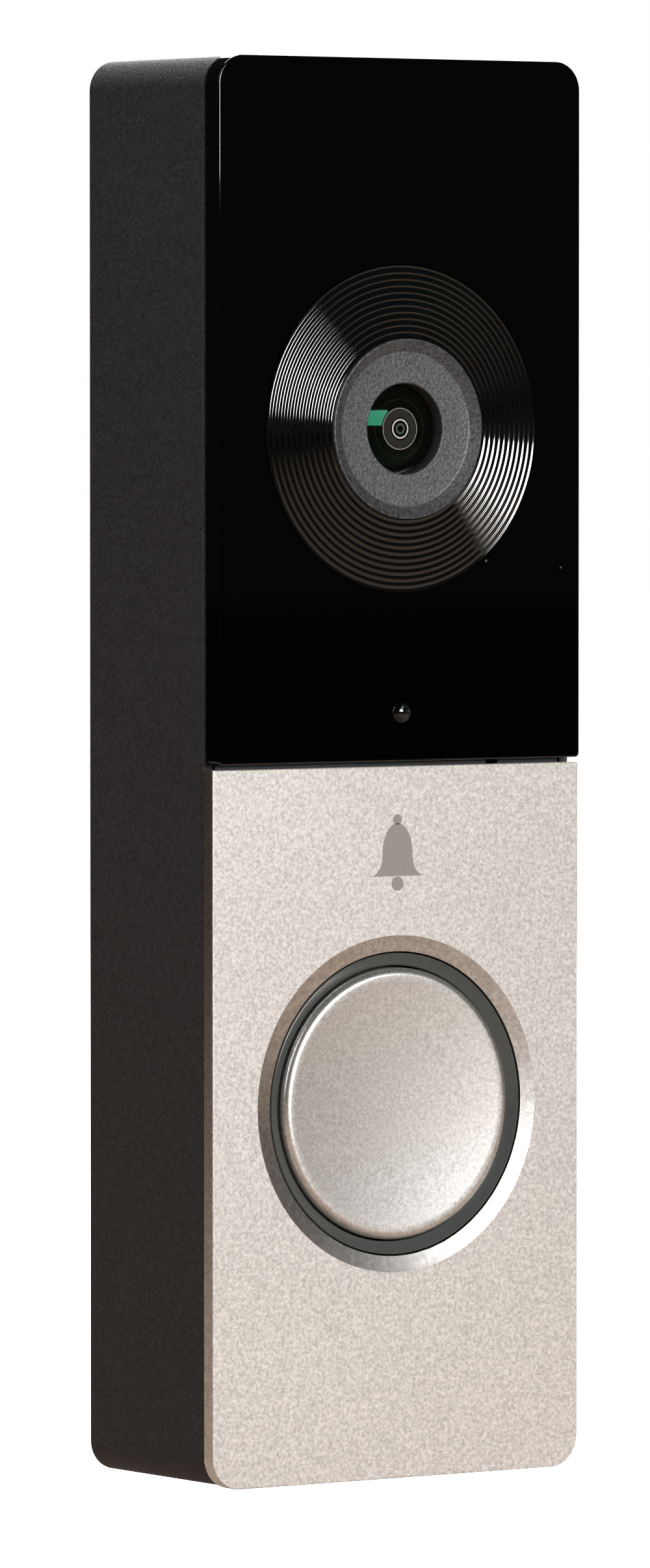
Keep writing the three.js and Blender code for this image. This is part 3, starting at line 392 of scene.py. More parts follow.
    def speck_group(self) -> Tree:
        """Makes a few faint dust specks on a polished face.

        Returns:
            The node group, with the outputs Fleck and Cloud.
        """
        tree, distance, outs = self.cells(Pattern.POLISH, "EUCLIDEAN")
        small = self.math(tree, "LESS_THAN", distance, SPECK_SIZE)
        patches = self.noise(tree, SPECK_PATCH, WIDE_DETAIL)
        rare = self.math(tree, "GREATER_THAN", patches, SPECK_RARITY)
        tree.links.new(self.math(tree, "MULTIPLY", small, rare), outs.inputs["Fleck"])
        tree.links.new(self.noise(tree, SPECK_CLOUD, CLOUD_DETAIL), outs.inputs["Cloud"])
        return tree

    def track_group(self) -> Tree:
        """Makes a circuit board's copper tracks under its mask.

        Returns:
            The node group, with the outputs Fleck and Cloud.
        """
        tree, distance, outs = self.cells(Pattern.TRACKS, "MANHATTAN")
        bands = self.math(tree, "PINGPONG", distance, TRACK_PITCH)
        tree.links.new(self.math(tree, "GREATER_THAN", bands, TRACK_GAP), outs.inputs["Fleck"])
        tree.links.new(self.noise(tree, TRACK_CLOUD, WIDE_DETAIL), outs.inputs["Cloud"])
        return tree

    def edge_group(self) -> Tree:
        """Makes a mask that is high on narrow outside edges.

        Returns:
            The node group, with the output Edge.
        """
        tree, ins, outs = self.new_group("worn_edges", ["Radius"], ["Edge"])
        soft = tree.nodes.new("ShaderNodeBevel")
        soft.samples = EDGE_SAMPLES
        tree.links.new(ins.outputs["Radius"], soft.inputs["Radius"])
        shape = tree.nodes.new("ShaderNodeNewGeometry")
        dot = tree.nodes.new("ShaderNodeVectorMath")
        dot.operation = "DOT_PRODUCT"
        tree.links.new(soft.outputs[0], dot.inputs[0])
        tree.links.new(shape.outputs["Normal"], dot.inputs[1])
        turned = self.math(tree, "SUBTRACT", 1.0, dot.outputs["Value"])
        edge = tree.nodes.new("ShaderNodeClamp")
        tree.links.new(self.math(tree, "MULTIPLY", turned, EDGE_GAIN), edge.inputs["Value"])
        tree.links.new(edge.outputs[0], outs.inputs["Edge"])
        return tree

    def material(self, slot: str) -> bpy.types.Material:
        """Gives a finish's material, which is made the first time it is asked for.

        Args:
            slot: the name of a material slot or of a further finish.

        Returns:
            The material.
        """
        if slot not in self.materials:
            self.materials[slot] = self.make(slot, FINISHES[slot])
        return self.materials[slot]

    def make(self, name: str, finish: Finish) -> bpy.types.Material:
        """Builds one finish's material.

        Args:
            name: the material's name.
            finish: what it is like.

        Returns:
            The material.
        """
        made = bpy.data.materials.new(name)
        made.use_nodes = True
        tree = made.node_tree
        shader = tree.nodes["Principled BSDF"]
        pattern = tree.nodes.new("ShaderNodeGroup")
        pattern.node_tree = self.groups[finish.pattern]
        pattern.inputs["Scale"].default_value = 1 / finish.size
        fleck = pattern.outputs["Fleck"]
        colour = self.blend(tree, fleck, finish.base, finish.fleck)
        if finish.edge:
            worn = tree.nodes.new("ShaderNodeGroup")
            worn.node_tree = self.edges
            worn.inputs["Radius"].default_value = GAP
            share = self.math(tree, "MULTIPLY", worn.outputs["Edge"], finish.edge)
            paler = tuple(min(1.0, c * EDGE_PALER + EDGE_LIFT) for c in finish.fleck)
            colour = self.blend(tree, share, colour, paler)
        tree.links.new(colour, shader.inputs["Base Color"])
        rough = tree.nodes.new("ShaderNodeMapRange")
        source = fleck if finish.pattern is Pattern.POLISH else pattern.outputs["Cloud"]
        tree.links.new(source, rough.inputs["Value"])
        rough.inputs["To Min"].default_value = finish.rough[0]
        rough.inputs["To Max"].default_value = finish.rough[1]
        tree.links.new(rough.outputs["Result"], shader.inputs["Roughness"])
        if finish.relief:
            bump = tree.nodes.new("ShaderNodeBump")
            bump.inputs["Distance"].default_value = finish.relief
            tree.links.new(fleck, bump.inputs["Height"])
            tree.links.new(bump.outputs["Normal"], shader.inputs["Normal"])
        plain = {
            "Metallic": finish.metallic, "Specular IOR Level": finish.specular,
            "IOR": IOR, "Transmission Weight": finish.transmission,
            "Specular Tint": (*finish.tint, 1.0),
        }
        for socket, value in plain.items():
            shader.inputs[socket].default_value = value
        return made

    def ringed_glass(
            self, centre: Point, rings: tuple[Ring, ...]) -> bpy.types.Material:
        """Builds the dark coated glass of the inner lens, with pale rings round its axis.

        Args:
            centre: a point on the lens axis.
            rings: the rings, the first one lowest.

        Returns:
            The material.
        """
        made = self.material("coated_element")
        tree = made.node_tree
        place = tree.nodes.new("ShaderNodeTexCoord")
        centred = tree.nodes.new("ShaderNodeVectorMath")
        centred.operation = "SUBTRACT"
        centred.inputs[1].default_value = centre
        flat = tree.nodes.new("ShaderNodeVectorMath")
        flat.operation = "MULTIPLY"
        flat.inputs[1].default_value = (1.0, 0.0, 1.0)
        length = tree.nodes.new("ShaderNodeVectorMath")
        length.operation = "LENGTH"
        tree.links.new(place.outputs["Object"], centred.inputs[0])
        tree.links.new(centred.outputs["Vector"], flat.inputs[0])
        tree.links.new(flat.outputs["Vector"], length.inputs[0])
        shader = tree.nodes["Principled BSDF"]
        colour = shader.inputs["Base Color"].links[0].from_socket
        for radius, width, shade in rings:
            off = self.math(tree, "SUBTRACT", length.outputs["Value"], radius)
            near = self.math(tree, "LESS_THAN", self.math(tree, "ABSOLUTE", off, 0.0), width / 2)
            colour = self.blend(tree, near, colour, shade)
        tree.links.new(colour, shader.inputs["Base Color"])
        return made


# ---- Modelling ----


class Axis(Enum):
    """The directions that a turned piece can point."""

    OUT = (0.0, -1.0, 0.0)
    UP = (0.0, 0.0, 1.0)


@dataclass(frozen=True)
class Seat:
    """Where a frame node sits: its middle, half height, and back and front from the wall."""

    x: float
    z: float
    radius: float
    back: float
    front: float

    @classmethod
    def of(cls, node: str) -> "Seat":
        """Reads a node's seat from the frame.

        Args:
            node: the node's name.

        Returns:
            Its seat.
        """
        low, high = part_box(node)
        x, z = (low.x + high.x) / 2, (low.z + high.z) / 2
        return cls(x, z, (high.z - low.z) / 2, -high.y, -low.y)


@dataclass
class Profile:
    """Half of a turned piece's section, as (radius, distance along the axis) points."""

    points: list[Pair] = field(default_factory=list)

    @classmethod
    def rod(cls, radius: float, start: float, end: float) -> "Profile":
        """Gives a plain rod's section."""
        return cls().to(0, start).to(radius, start).to(radius, end).to(0, end)

    def to(self, radius: float, along: float) -> "Profile":
        """Adds one point."""
        self.points.append((radius, along))
        return self

    def arc(self, middle: Pair, size: Pair, turn: Pair, steps: int) -> "Profile":
        """Adds an arc of a circle or an ellipse.

        Args:
            middle: the arc's centre, as (radius, along).
            size: its half widths in the two directions.
            turn: its first and last angle in degrees, from the radius direction.
            steps: the number of chords.

        Returns:
            The profile, so that calls can follow each other.
        """
        for i in range(steps + 1):
            angle = math.radians(turn[0] + (turn[1] - turn[0]) * i / steps)
            across = middle[0] + size[0] * math.cos(angle)
            self.to(max(0.0, across), middle[1] + size[1] * math.sin(angle))
        return self


@dataclass
class Workpiece:
    """One new mesh object, shaped with edit-mode operators and then finished."""

    obj: bpy.types.Object

    @staticmethod
    def clear() -> None:
        """Leaves nothing selected or active."""
        for obj in bpy.context.view_layer.objects:
            obj.select_set(False)
        bpy.context.view_layer.objects.active = None

    @classmethod
    def adopt(cls, name: str) -> "Workpiece":
        """Names the primitive that was just added, and moves its place into its mesh.

        Args:
            name: the new name of the object and of its mesh.

        Returns:
            The primitive as a piece.
        """
        bpy.ops.object.transform_apply(location=True, rotation=True, scale=True)
        obj = bpy.context.active_object
        obj.name = name
        obj.data.name = name
        return cls(obj)

    @classmethod
    def box(cls, name: str, low: Vector, high: Vector) -> "Workpiece":
        """Starts a piece from a box.

        Args:
            name: the piece's name.
            low: its low corner.
            high: its high corner.

        Returns:
            The piece.
        """
        cls.clear()
        bpy.ops.mesh.primitive_cube_add(size=1, location=(low + high) / 2, scale=high - low)
        return cls.adopt(name)

    @classmethod
    def spun(cls, name: str, profile: Profile, centre: Point, axis: Axis = Axis.OUT,
             steps: int = 192) -> "Workpiece":
        """Starts a piece by spinning a profile round an axis.

        Args:
            name: the piece's name.
            profile: half of its section, open only where it meets the axis.
            centre: the point on the axis from which the profile's distances count.
            axis: the direction of the axis.
            steps: the number of steps round.

        Returns:
            The piece.
        """
        along = Vector(axis.value)
        places = [Vector(centre) + Vector((r, 0, 0)) + along * d for r, d in profile.points]
        cls.clear()
        bpy.ops.mesh.primitive_plane_add(size=MM, location=places[0])
        piece = cls.adopt(name)
        with piece.editing():
            bpy.ops.mesh.select_mode(type="VERT")
            bpy.ops.mesh.select_all(action="SELECT")
            bpy.ops.mesh.merge(type="CENTER")
            if profile.points[0][0] > 0:
                places.append(places[0])
            for here, there in zip(places, places[1:]):
                bpy.ops.mesh.extrude_region_move(TRANSFORM_OT_translate={"value": there - here})
            bpy.ops.mesh.select_all(action="SELECT")
            bpy.ops.mesh.spin(steps=steps, angle=FULL_TURN, center=centre, axis=along)
            bpy.ops.mesh.select_all(action="SELECT")
            bpy.ops.mesh.remove_doubles(threshold=WELD)
            bpy.ops.mesh.normals_make_consistent(inside=False)
        return piece

    @contextmanager
    def editing(self) -> Iterator[None]:
        """Holds the piece, alone, in edit mode.

        Returns:
            What the with statement needs, with nothing to name.
        """
        self.only()
        bpy.ops.object.mode_set(mode="EDIT")
        yield
        bpy.ops.object.mode_set(mode="OBJECT")

    def pick(self, test: Callable[[bmesh.types.BMEdge | bmesh.types.BMFace], bool],
             faces: bool = False) -> None:
        """Selects the edges, or the faces, that pass a test.

        Args:
            test: the test.
            faces: whether faces are looked at, not edges.
        """
        bpy.ops.mesh.select_mode(type="FACE" if faces else "EDGE")
        bpy.ops.mesh.select_all(action="DESELECT")
        mesh = bmesh.from_edit_mesh(self.obj.data)
        for part in mesh.faces if faces else mesh.edges:
            if test(part):
                part.select_set(True)
        bmesh.update_edit_mesh(self.obj.data)

    def round_edges(self, test: Callable[[bmesh.types.BMEdge], bool], radius: float,
                    steps: int) -> "Workpiece":
        """Rounds the edges that pass a test."""
        with self.editing():
            self.pick(test)
            bpy.ops.mesh.bevel(
                offset=radius, segments=steps, affect="EDGES", profile=ROUND_PROFILE)
        return self

    def round_corners(self, radius: float, steps: int, up: bool | None = None) -> "Workpiece":
        """Rounds the upright panel's corners.

        Args:
            radius: the corners' radius.
            steps: the chords in each.
            up: True for the upper two only, False for the lower two, None for all four.

        Returns:
            The piece.
        """
        low, high = self.ends(2)
        middle = (low + high) / 2

        def corner(edge: bmesh.types.BMEdge) -> bool:
            """Tells whether an edge runs straight back at a corner to round.

            Args:
                edge: the edge.

            Returns:
                Whether it does.
            """
            first, second = (v.co for v in edge.verts)
            across = abs(first.x - second.x) + abs(first.z - second.z)
            return across < NEAR and (up is None or (first.z > middle) == up)

        return self.round_edges(corner, radius, steps)

    def round_rim(self, depth: float, radius: float, steps: int = 4) -> "Workpiece":
        """Rounds the panel's outer rim at a distance from the wall."""
        def rim(edge: bmesh.types.BMEdge) -> bool:
            """Tells whether an edge is on the rim, between a flat face and a side."""
            level = all(abs(v.co.y + depth) < NEAR for v in edge.verts)
            return level and any(abs(f.normal.y) < 0.5 for f in edge.link_faces)

        return self.round_edges(rim, radius, steps)

    def ends(self, index: int) -> Pair:
        """Gives the lowest and highest coordinate along one axis."""
        values = [v.co[index] for v in self.obj.data.vertices]
        return min(values), max(values)

    def sink(self, toward: float, insets: list[Pair]) -> "Workpiece":
        """Sinks stepped hollows into the front or the back face.

        Args:
            toward: -1 for the front face, and 1 for the back face.
            insets: for each step, how far it is inset and how deep it is sunk.

        Returns:
            The piece.
        """
        low, high = self.ends(1)
        edge = low if toward < 0 else high

        def end_face(face: bmesh.types.BMFace) -> bool:
            """Tells whether a face is the flat end that the hollow starts from."""
            flat = face.normal.y * toward > FLAT
            return flat and abs(face.calc_center_median().y - edge) < WELD

        for step, (inset, depth) in enumerate(insets):
            with self.editing():
                if step == 0:
                    self.pick(end_face, faces=True)
                bpy.ops.mesh.inset(thickness=inset, depth=0)
                bpy.ops.mesh.extrude_region_move(
                    TRANSFORM_OT_translate={"value": (0, -toward * depth, 0)})
        return self

    def join_or_cut(self, other: "Workpiece", operation: str = "DIFFERENCE") -> "Workpiece":
        """Cuts another piece out of this one, or joins it, and removes the other.

        Args:
            other: the other piece.
            operation: DIFFERENCE to cut, or UNION to join.

        Returns:
            The piece.
        """
        change = self.obj.modifiers.new("change", "BOOLEAN")
        change.operation = operation
        change.solver = "EXACT"
        change.object = other.obj
        self.only()
        bpy.ops.object.modifier_apply(modifier=change.name)
        bpy.data.objects.remove(other.obj)
        return self

    def only(self) -> None:
        """Selects the piece alone and makes it active."""
        self.clear()
        bpy.context.view_layer.objects.active = self.obj
        self.obj.select_set(True)

    def twin(self, name: str, move: Vector) -> "Workpiece":
        """Copies the piece, with a mesh of its own, and moves the copy's mesh.

        Args:
            name: the copy's name.
            move: how far the copy is moved.

        Returns:
            The copy.
        """
        obj = self.obj.copy()
        obj.data = self.obj.data.copy()
        obj.name = obj.data.name = name
        bpy.context.scene.collection.objects.link(obj)
        copy = Workpiece(obj)
        with copy.editing():
            bpy.ops.mesh.select_all(action="SELECT")
            bpy.ops.transform.translate(value=move)
        return copy

    def heal(self) -> "Workpiece":
        """Closes the hair-thin slits that a cut can leave at its corners."""
        with self.editing():
            bpy.ops.mesh.select_all(action="SELECT")
            bpy.ops.mesh.remove_doubles(threshold=2 * WELD)
            bpy.ops.mesh.dissolve_degenerate(threshold=2 * WELD)
        return self

    def finish(self, body: str, slot: str, material: bpy.types.Material,
               nodes: tuple[str, ...] = (), angle: float = 32.0) -> bpy.types.Object:
        """Smooths and dresses the piece, and makes it ride on its body.

        Args:
            body: the body that it moves with.
            slot: the record's material slot; not used.
            material: its material.
            nodes: the frame nodes that it stands for.
            angle: the sharpest edge, in degrees, that is shaded smooth.

        Returns:
            The finished object.
        """
        self.only()
        bpy.ops.object.shade_smooth_by_angle(angle=math.radians(angle))
        even = self.obj.modifiers.new("even", "WEIGHTED_NORMAL")
        even.keep_sharp = True
        bpy.ops.object.modifier_apply(modifier=even.name)
        self.obj.data.materials.clear()
        self.obj.data.materials.append(material)
        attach(self.obj, body)
        if nodes:
            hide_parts(*nodes)
        LOG.info("%s: %d faces, on %s", self.obj.name, len(self.obj.data.polygons), body)
        return self.obj


# ---- Sub-assemblies ----


@dataclass
class Housing:
    """The grained rear housing, open to the front, with its recess, ports and screw bosses."""

    shop: FinishShop
    corner: float = 2.8 * MM
    edge: float = 0.22 * MM
    rim: float = 1.0 * MM
    wall: float = 2.2 * MM
    rear_rim: float = 1.8 * MM
    recess: float = 4.9 * MM
    floor: float = 1.8 * MM
    boss_radius: float = 2.6 * MM
    pilot_radius: float = 1.2 * MM
    ports: int = 5
    port_width: float = 1.4 * MM
    port_length: float = 4.6 * MM
    port_pitch: float = 3.6 * MM
    port_round: float = 0.69 * MM
    reset_radius: float = 1.5 * MM
    lock_shank: float = 1.4 * MM
    lock_sink: float = 1.0 * MM
    pocket_half: float = 5.3 * MM
    pocket_depth: float = 1.9 * MM

    def build(self) -> Workpiece:
        """Models the shell.

        Returns:
            The shell.
        """
        low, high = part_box("rear_housing")
        front, ledge = -low.y, Seat.of("housing_seal").back - SEAM
        floor_back = -high.y + self.recess
        floor_front = floor_back + self.floor
        shell = Workpiece.box("housing_shell", low, high).round_corners(self.corner, 12)
        shell.round_rim(front, self.edge, 4).round_rim(-high.y, 2 * self.edge, 5)
        shell.sink(-1, [
            (self.rim - self.edge, front - ledge), (self.wall - self.rim, ledge - floor_front)])
        shell.sink(1, [(self.rear_rim - 2 * self.edge, self.recess)])
        for number in range(1, 5):
            self.add_boss(shell, Seat.of(f"housing_screw_{number}"), floor_front, ledge)
        self.cut_floor(shell, floor_back, floor_front)
        self.cut_ports(shell, (floor_front + ledge) / 2)
        self.cut_hangers(shell)
        return shell.heal()

    def add_boss(self, shell: Workpiece, screw: Seat, back: float, front: float) -> None:
        """Stands one screw boss on the floor and bores its pilot hole.

        Args:
            shell: the shell.
            screw: the screw's seat.
            back: where the boss starts, from the wall.
            front: where it ends.
        """
        centre = (screw.x, 0.0, screw.z)
        post = Profile.rod(self.boss_radius, back - SEAM, front)
        pilot = Profile.rod(self.pilot_radius, screw.back - GAP, front + GAP)
        shell.join_or_cut(Workpiece.spun("post", post, centre, steps=32), "UNION")
        shell.join_or_cut(Workpiece.spun("pilot", pilot, centre, steps=24))

    def cut_floor(self, shell: Workpiece, back: float, front: float) -> None:
        """Cuts the terminal window and the reset hole through the floor.

        Args:
            shell: the shell.
            back: the floor's back, from the wall.
            front: its front.
        """
        low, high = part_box("terminal_block")
        shell.join_or_cut(Workpiece.box(
            "window", Vector((low.x - GAP, -front - GAP, low.z - GAP)),
            Vector((high.x + GAP, -back + GAP, high.z + GAP))))
        reset = Seat.of("reset_button")
        hole = Profile.rod(self.reset_radius, back - GAP, front + GAP)
        shell.join_or_cut(Workpiece.spun("hole", hole, (reset.x, 0.0, reset.z), steps=32))

    def cut_ports(self, shell: Workpiece, middle: float) -> None:
        """Cuts the row of sound ports through the lower wall.

        Args:
            shell: the shell.
            middle: the row's distance from the wall.
        """
        def upright(edge: bmesh.types.BMEdge) -> bool:
            """Tells whether an edge runs up through the housing's wall."""
            return abs(edge.verts[0].co.z - edge.verts[1].co.z) > self.wall

        low_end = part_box("rear_housing")[0].z
        half = Vector((self.port_width / 2, self.port_length / 2, self.wall / 2 + GAP))
        for i in range(self.ports):
            x = (i - (self.ports - 1) / 2) * self.port_pitch
            place = Vector((x, -middle, low_end + self.wall / 2))
            port = Workpiece.box("port", place - half, place + half)
            shell.join_or_cut(port.round_edges(upright, self.port_round, 6))

    def cut_hangers(self, shell: Workpiece) -> None:
        """Drills the lock screw's stepped hole and cuts the pocket for the bracket's hook.

        Args:
            shell: the shell.
        """
        low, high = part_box("rear_housing")
        lock_low, lock_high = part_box("security_screw")
        axis = ((lock_low.x + lock_high.x) / 2, (lock_low.y + lock_high.y) / 2, low.z)
        shank, head = self.lock_shank, (lock_high.x - lock_low.x) / 2 + GAP
        drill = Profile().to(0, -GAP).to(head, -GAP).to(head, self.lock_sink)
        drill.to(shank, self.lock_sink).to(shank, self.rear_rim + GAP).to(0, self.rear_rim + GAP)
        shell.join_or_cut(Workpiece.spun("drill", drill, axis, Axis.UP, 48))
        bracket_low, bracket_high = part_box("wall_bracket")
        shell.join_or_cut(Workpiece.box(
            "pocket",
            Vector((-self.pocket_half, bracket_low.y - GAP, high.z - self.rear_rim - GAP)),
            Vector((self.pocket_half, bracket_low.y + self.pocket_depth, bracket_high.z + GAP))))

    def dress(self) -> None:
        """Builds the shell and gives it its grained finish."""
        grained = self.shop.material("housing_black")
        self.build().finish(CASE, "housing_black", grained, ("rear_housing",))


@dataclass
class FrontPlates:
    """The gloss camera window, the nickel faceplate and the bell sign printed on it."""

    shop: FinishShop
    window_corner: float = 2.7 * MM
    window_low_corner: float = 0.4 * MM
    window_edge: float = 0.16 * MM
    plate_corner: float = 3.0 * MM
    plate_edge: float = 0.11 * MM
    chamfer_width: float = 1.52 * MM
    chamfer_drop: float = 0.23 * MM
    opening_seam: float = 0.15 * MM
    crisp: float = 8.0  # degrees, just under the chamfer's slope
    sign_height: float = 8.0 * MM
    sign_below_edge: float = 7.9 * MM
    sign_thickness: float = 0.015 * MM
    sensor_rim: float = 0.53 * MM  # how much smaller the sensor's hole is than its flange
    chamfer_facing: Pair = (0.9, 0.999)  # how far forward the chamfer's faces point
    side_facing: float = 0.3
    bell_share: float = 0.62  # the dome's share of the sign's height
    bell_rows: int = 26
    bell_width: float = 0.68  # of the dome's height
    bell_tip: float = 0.02
    lip_flare: float = 0.72
    lip_fade: float = 9.0
    dome_start: float = 0.45
    dome_reach: float = 0.56
    bell_dots: tuple[Pair, ...] = ((-0.40, 0.085), (0.36, 0.062))  # height and radius

    def window(self) -> Workpiece:
        """Models the window with its holes for the camera and the sensor lens.

        Returns:
            The window.
        """
        low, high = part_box("camera_window")
        panel = Workpiece.box("window_panel", low, high)
        panel.round_corners(self.window_corner, 12, up=True)
        panel.round_corners(self.window_low_corner, 4, up=False)
        panel.round_rim(-low.y, self.window_edge, 5)
        for node, grow in (("lens_shroud", SEAM), ("sensor_lens", -self.sensor_rim)):
            seat = Seat.of(node)
            hole = Profile.rod(seat.radius + grow, -high.y - GAP, -low.y + GAP)
            panel.join_or_cut(Workpiece.spun("hole", hole, (seat.x, 0.0, seat.z), steps=160))
        return panel

    def plate(self) -> Workpiece:
        """Models the faceplate with the chamfered opening round the button.

        Returns:
            The faceplate.
        """
        low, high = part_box("faceplate")
        ring = Seat.of("button_cap")
        front = -low.y
        plate = Workpiece.box("nickel_plate", low, high)
        plate.round_corners(self.plate_corner, 12, up=False).round_rim(front, self.plate_edge, 3)
        bore = self.opening_radius()
        seat = front - self.chamfer_drop
        slope = self.chamfer_width / self.chamfer_drop
        hole = Profile().to(0, -high.y - GAP).to(bore, -high.y - GAP).to(bore, seat)
        hole.to(bore + self.chamfer_width + slope * SEAM, front + SEAM).to(0, front + SEAM)
        centre = (ring.x, 0.0, ring.z)
        return plate.join_or_cut(Workpiece.spun("opening", hole, centre, steps=FINE_TURN))

    def dress_cut_faces(self, plate: bpy.types.Object) -> None:
        """Gives the chamfer and the plate's narrow sides their bare, cut finish.

        Args:
            plate: the finished faceplate.
        """
        plate.data.materials.append(self.shop.material("cut_nickel"))
        ring = Seat.of("button_cap")
        reach = self.opening_radius() + self.chamfer_width + GAP
        least, most = self.chamfer_facing
        for face in plate.data.polygons:
            across = math.hypot(face.center.x - ring.x, face.center.z - ring.z)
            chamfered = across < reach and least < -face.normal.y < most
            if chamfered or abs(face.normal.y) < self.side_facing:
                face.material_index = 1

    def opening_radius(self) -> float:
        """Gives the radius of the opening, a seam wider than the light ring's face."""
        return Seat.of("light_ring").radius - RING_FLANGE + self.opening_seam

    def bell_width_at(self, share: float) -> float:
        """Gives the bell's width at a height.

        Args:
            share: the height, as a share of the dome's.

        Returns:
            The width, as a share of the dome's height.
        """
        lip = 1 + self.lip_flare * math.exp(-share * self.lip_fade)
        above = max(0.0, (share - self.dome_start) / self.dome_reach)
        return max(self.bell_tip, self.bell_width * math.sqrt(max(0.0, 1 - above ** 2)) * lip)

    def sign(self) -> Workpiece:
        """Models a plain bell: a dome that flares to a lip, with a clapper and a knob.

        Returns:
            The sign.
        """
        low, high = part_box("faceplate")
        middle = Vector((0.0, low.y, high.z - self.sign_below_edge))
        tall = self.sign_height * self.bell_share
        Workpiece.clear()
        bpy.ops.mesh.primitive_grid_add(
            x_subdivisions=2, y_subdivisions=self.bell_rows, size=tall, location=middle,
            rotation=UPRIGHT)
        bell = Workpiece.adopt("bell_sign")
        base = middle.z - tall / 2
        with bell.editing():
            for row in range(self.bell_rows + 1):
                share = row / self.bell_rows
                level = base + tall * share
                bell.pick(lambda e: all(abs(v.co.z - level) < NEAR for v in e.verts))
                bpy.ops.transform.resize(
                    value=(self.bell_width_at(share), 1, 1), center_override=middle)
        self.thicken(bell)
        for height, radius in self.bell_dots:
            Workpiece.clear()
            bpy.ops.mesh.primitive_circle_add(
                vertices=32, radius=self.sign_height * radius, fill_type="NGON",
                location=middle + Vector((0, 0, self.sign_height * height)), rotation=UPRIGHT)
            dot = Workpiece.adopt("dot")
            self.thicken(dot)
            bell.only()
            dot.obj.select_set(True)
            bpy.ops.object.join()
        return bell

    def thicken(self, flat: Workpiece) -> None:
        """Gives a flat print its thickness.

        Args:
            flat: the print.
        """
        with flat.editing():
            bpy.ops.mesh.select_all(action="SELECT")
            bpy.ops.mesh.extrude_region_move(
                TRANSFORM_OT_translate={"value": (0, -self.sign_thickness, 0)})
            bpy.ops.mesh.select_all(action="SELECT")
            bpy.ops.mesh.normals_make_consistent(inside=False)

    def dress(self) -> None:
        """Builds the plates and the sign and gives them their finishes."""
        paint = self.shop.material
        self.window().finish(CASE, "window_gloss", paint("window_gloss"), ("camera_window",))
        plate = self.plate().finish(
            CASE, "satin_nickel", paint("satin_nickel"), ("faceplate",), self.crisp)
        self.dress_cut_faces(plate)
        self.sign().finish(CASE, "bezel_grey", paint("sign_print"))


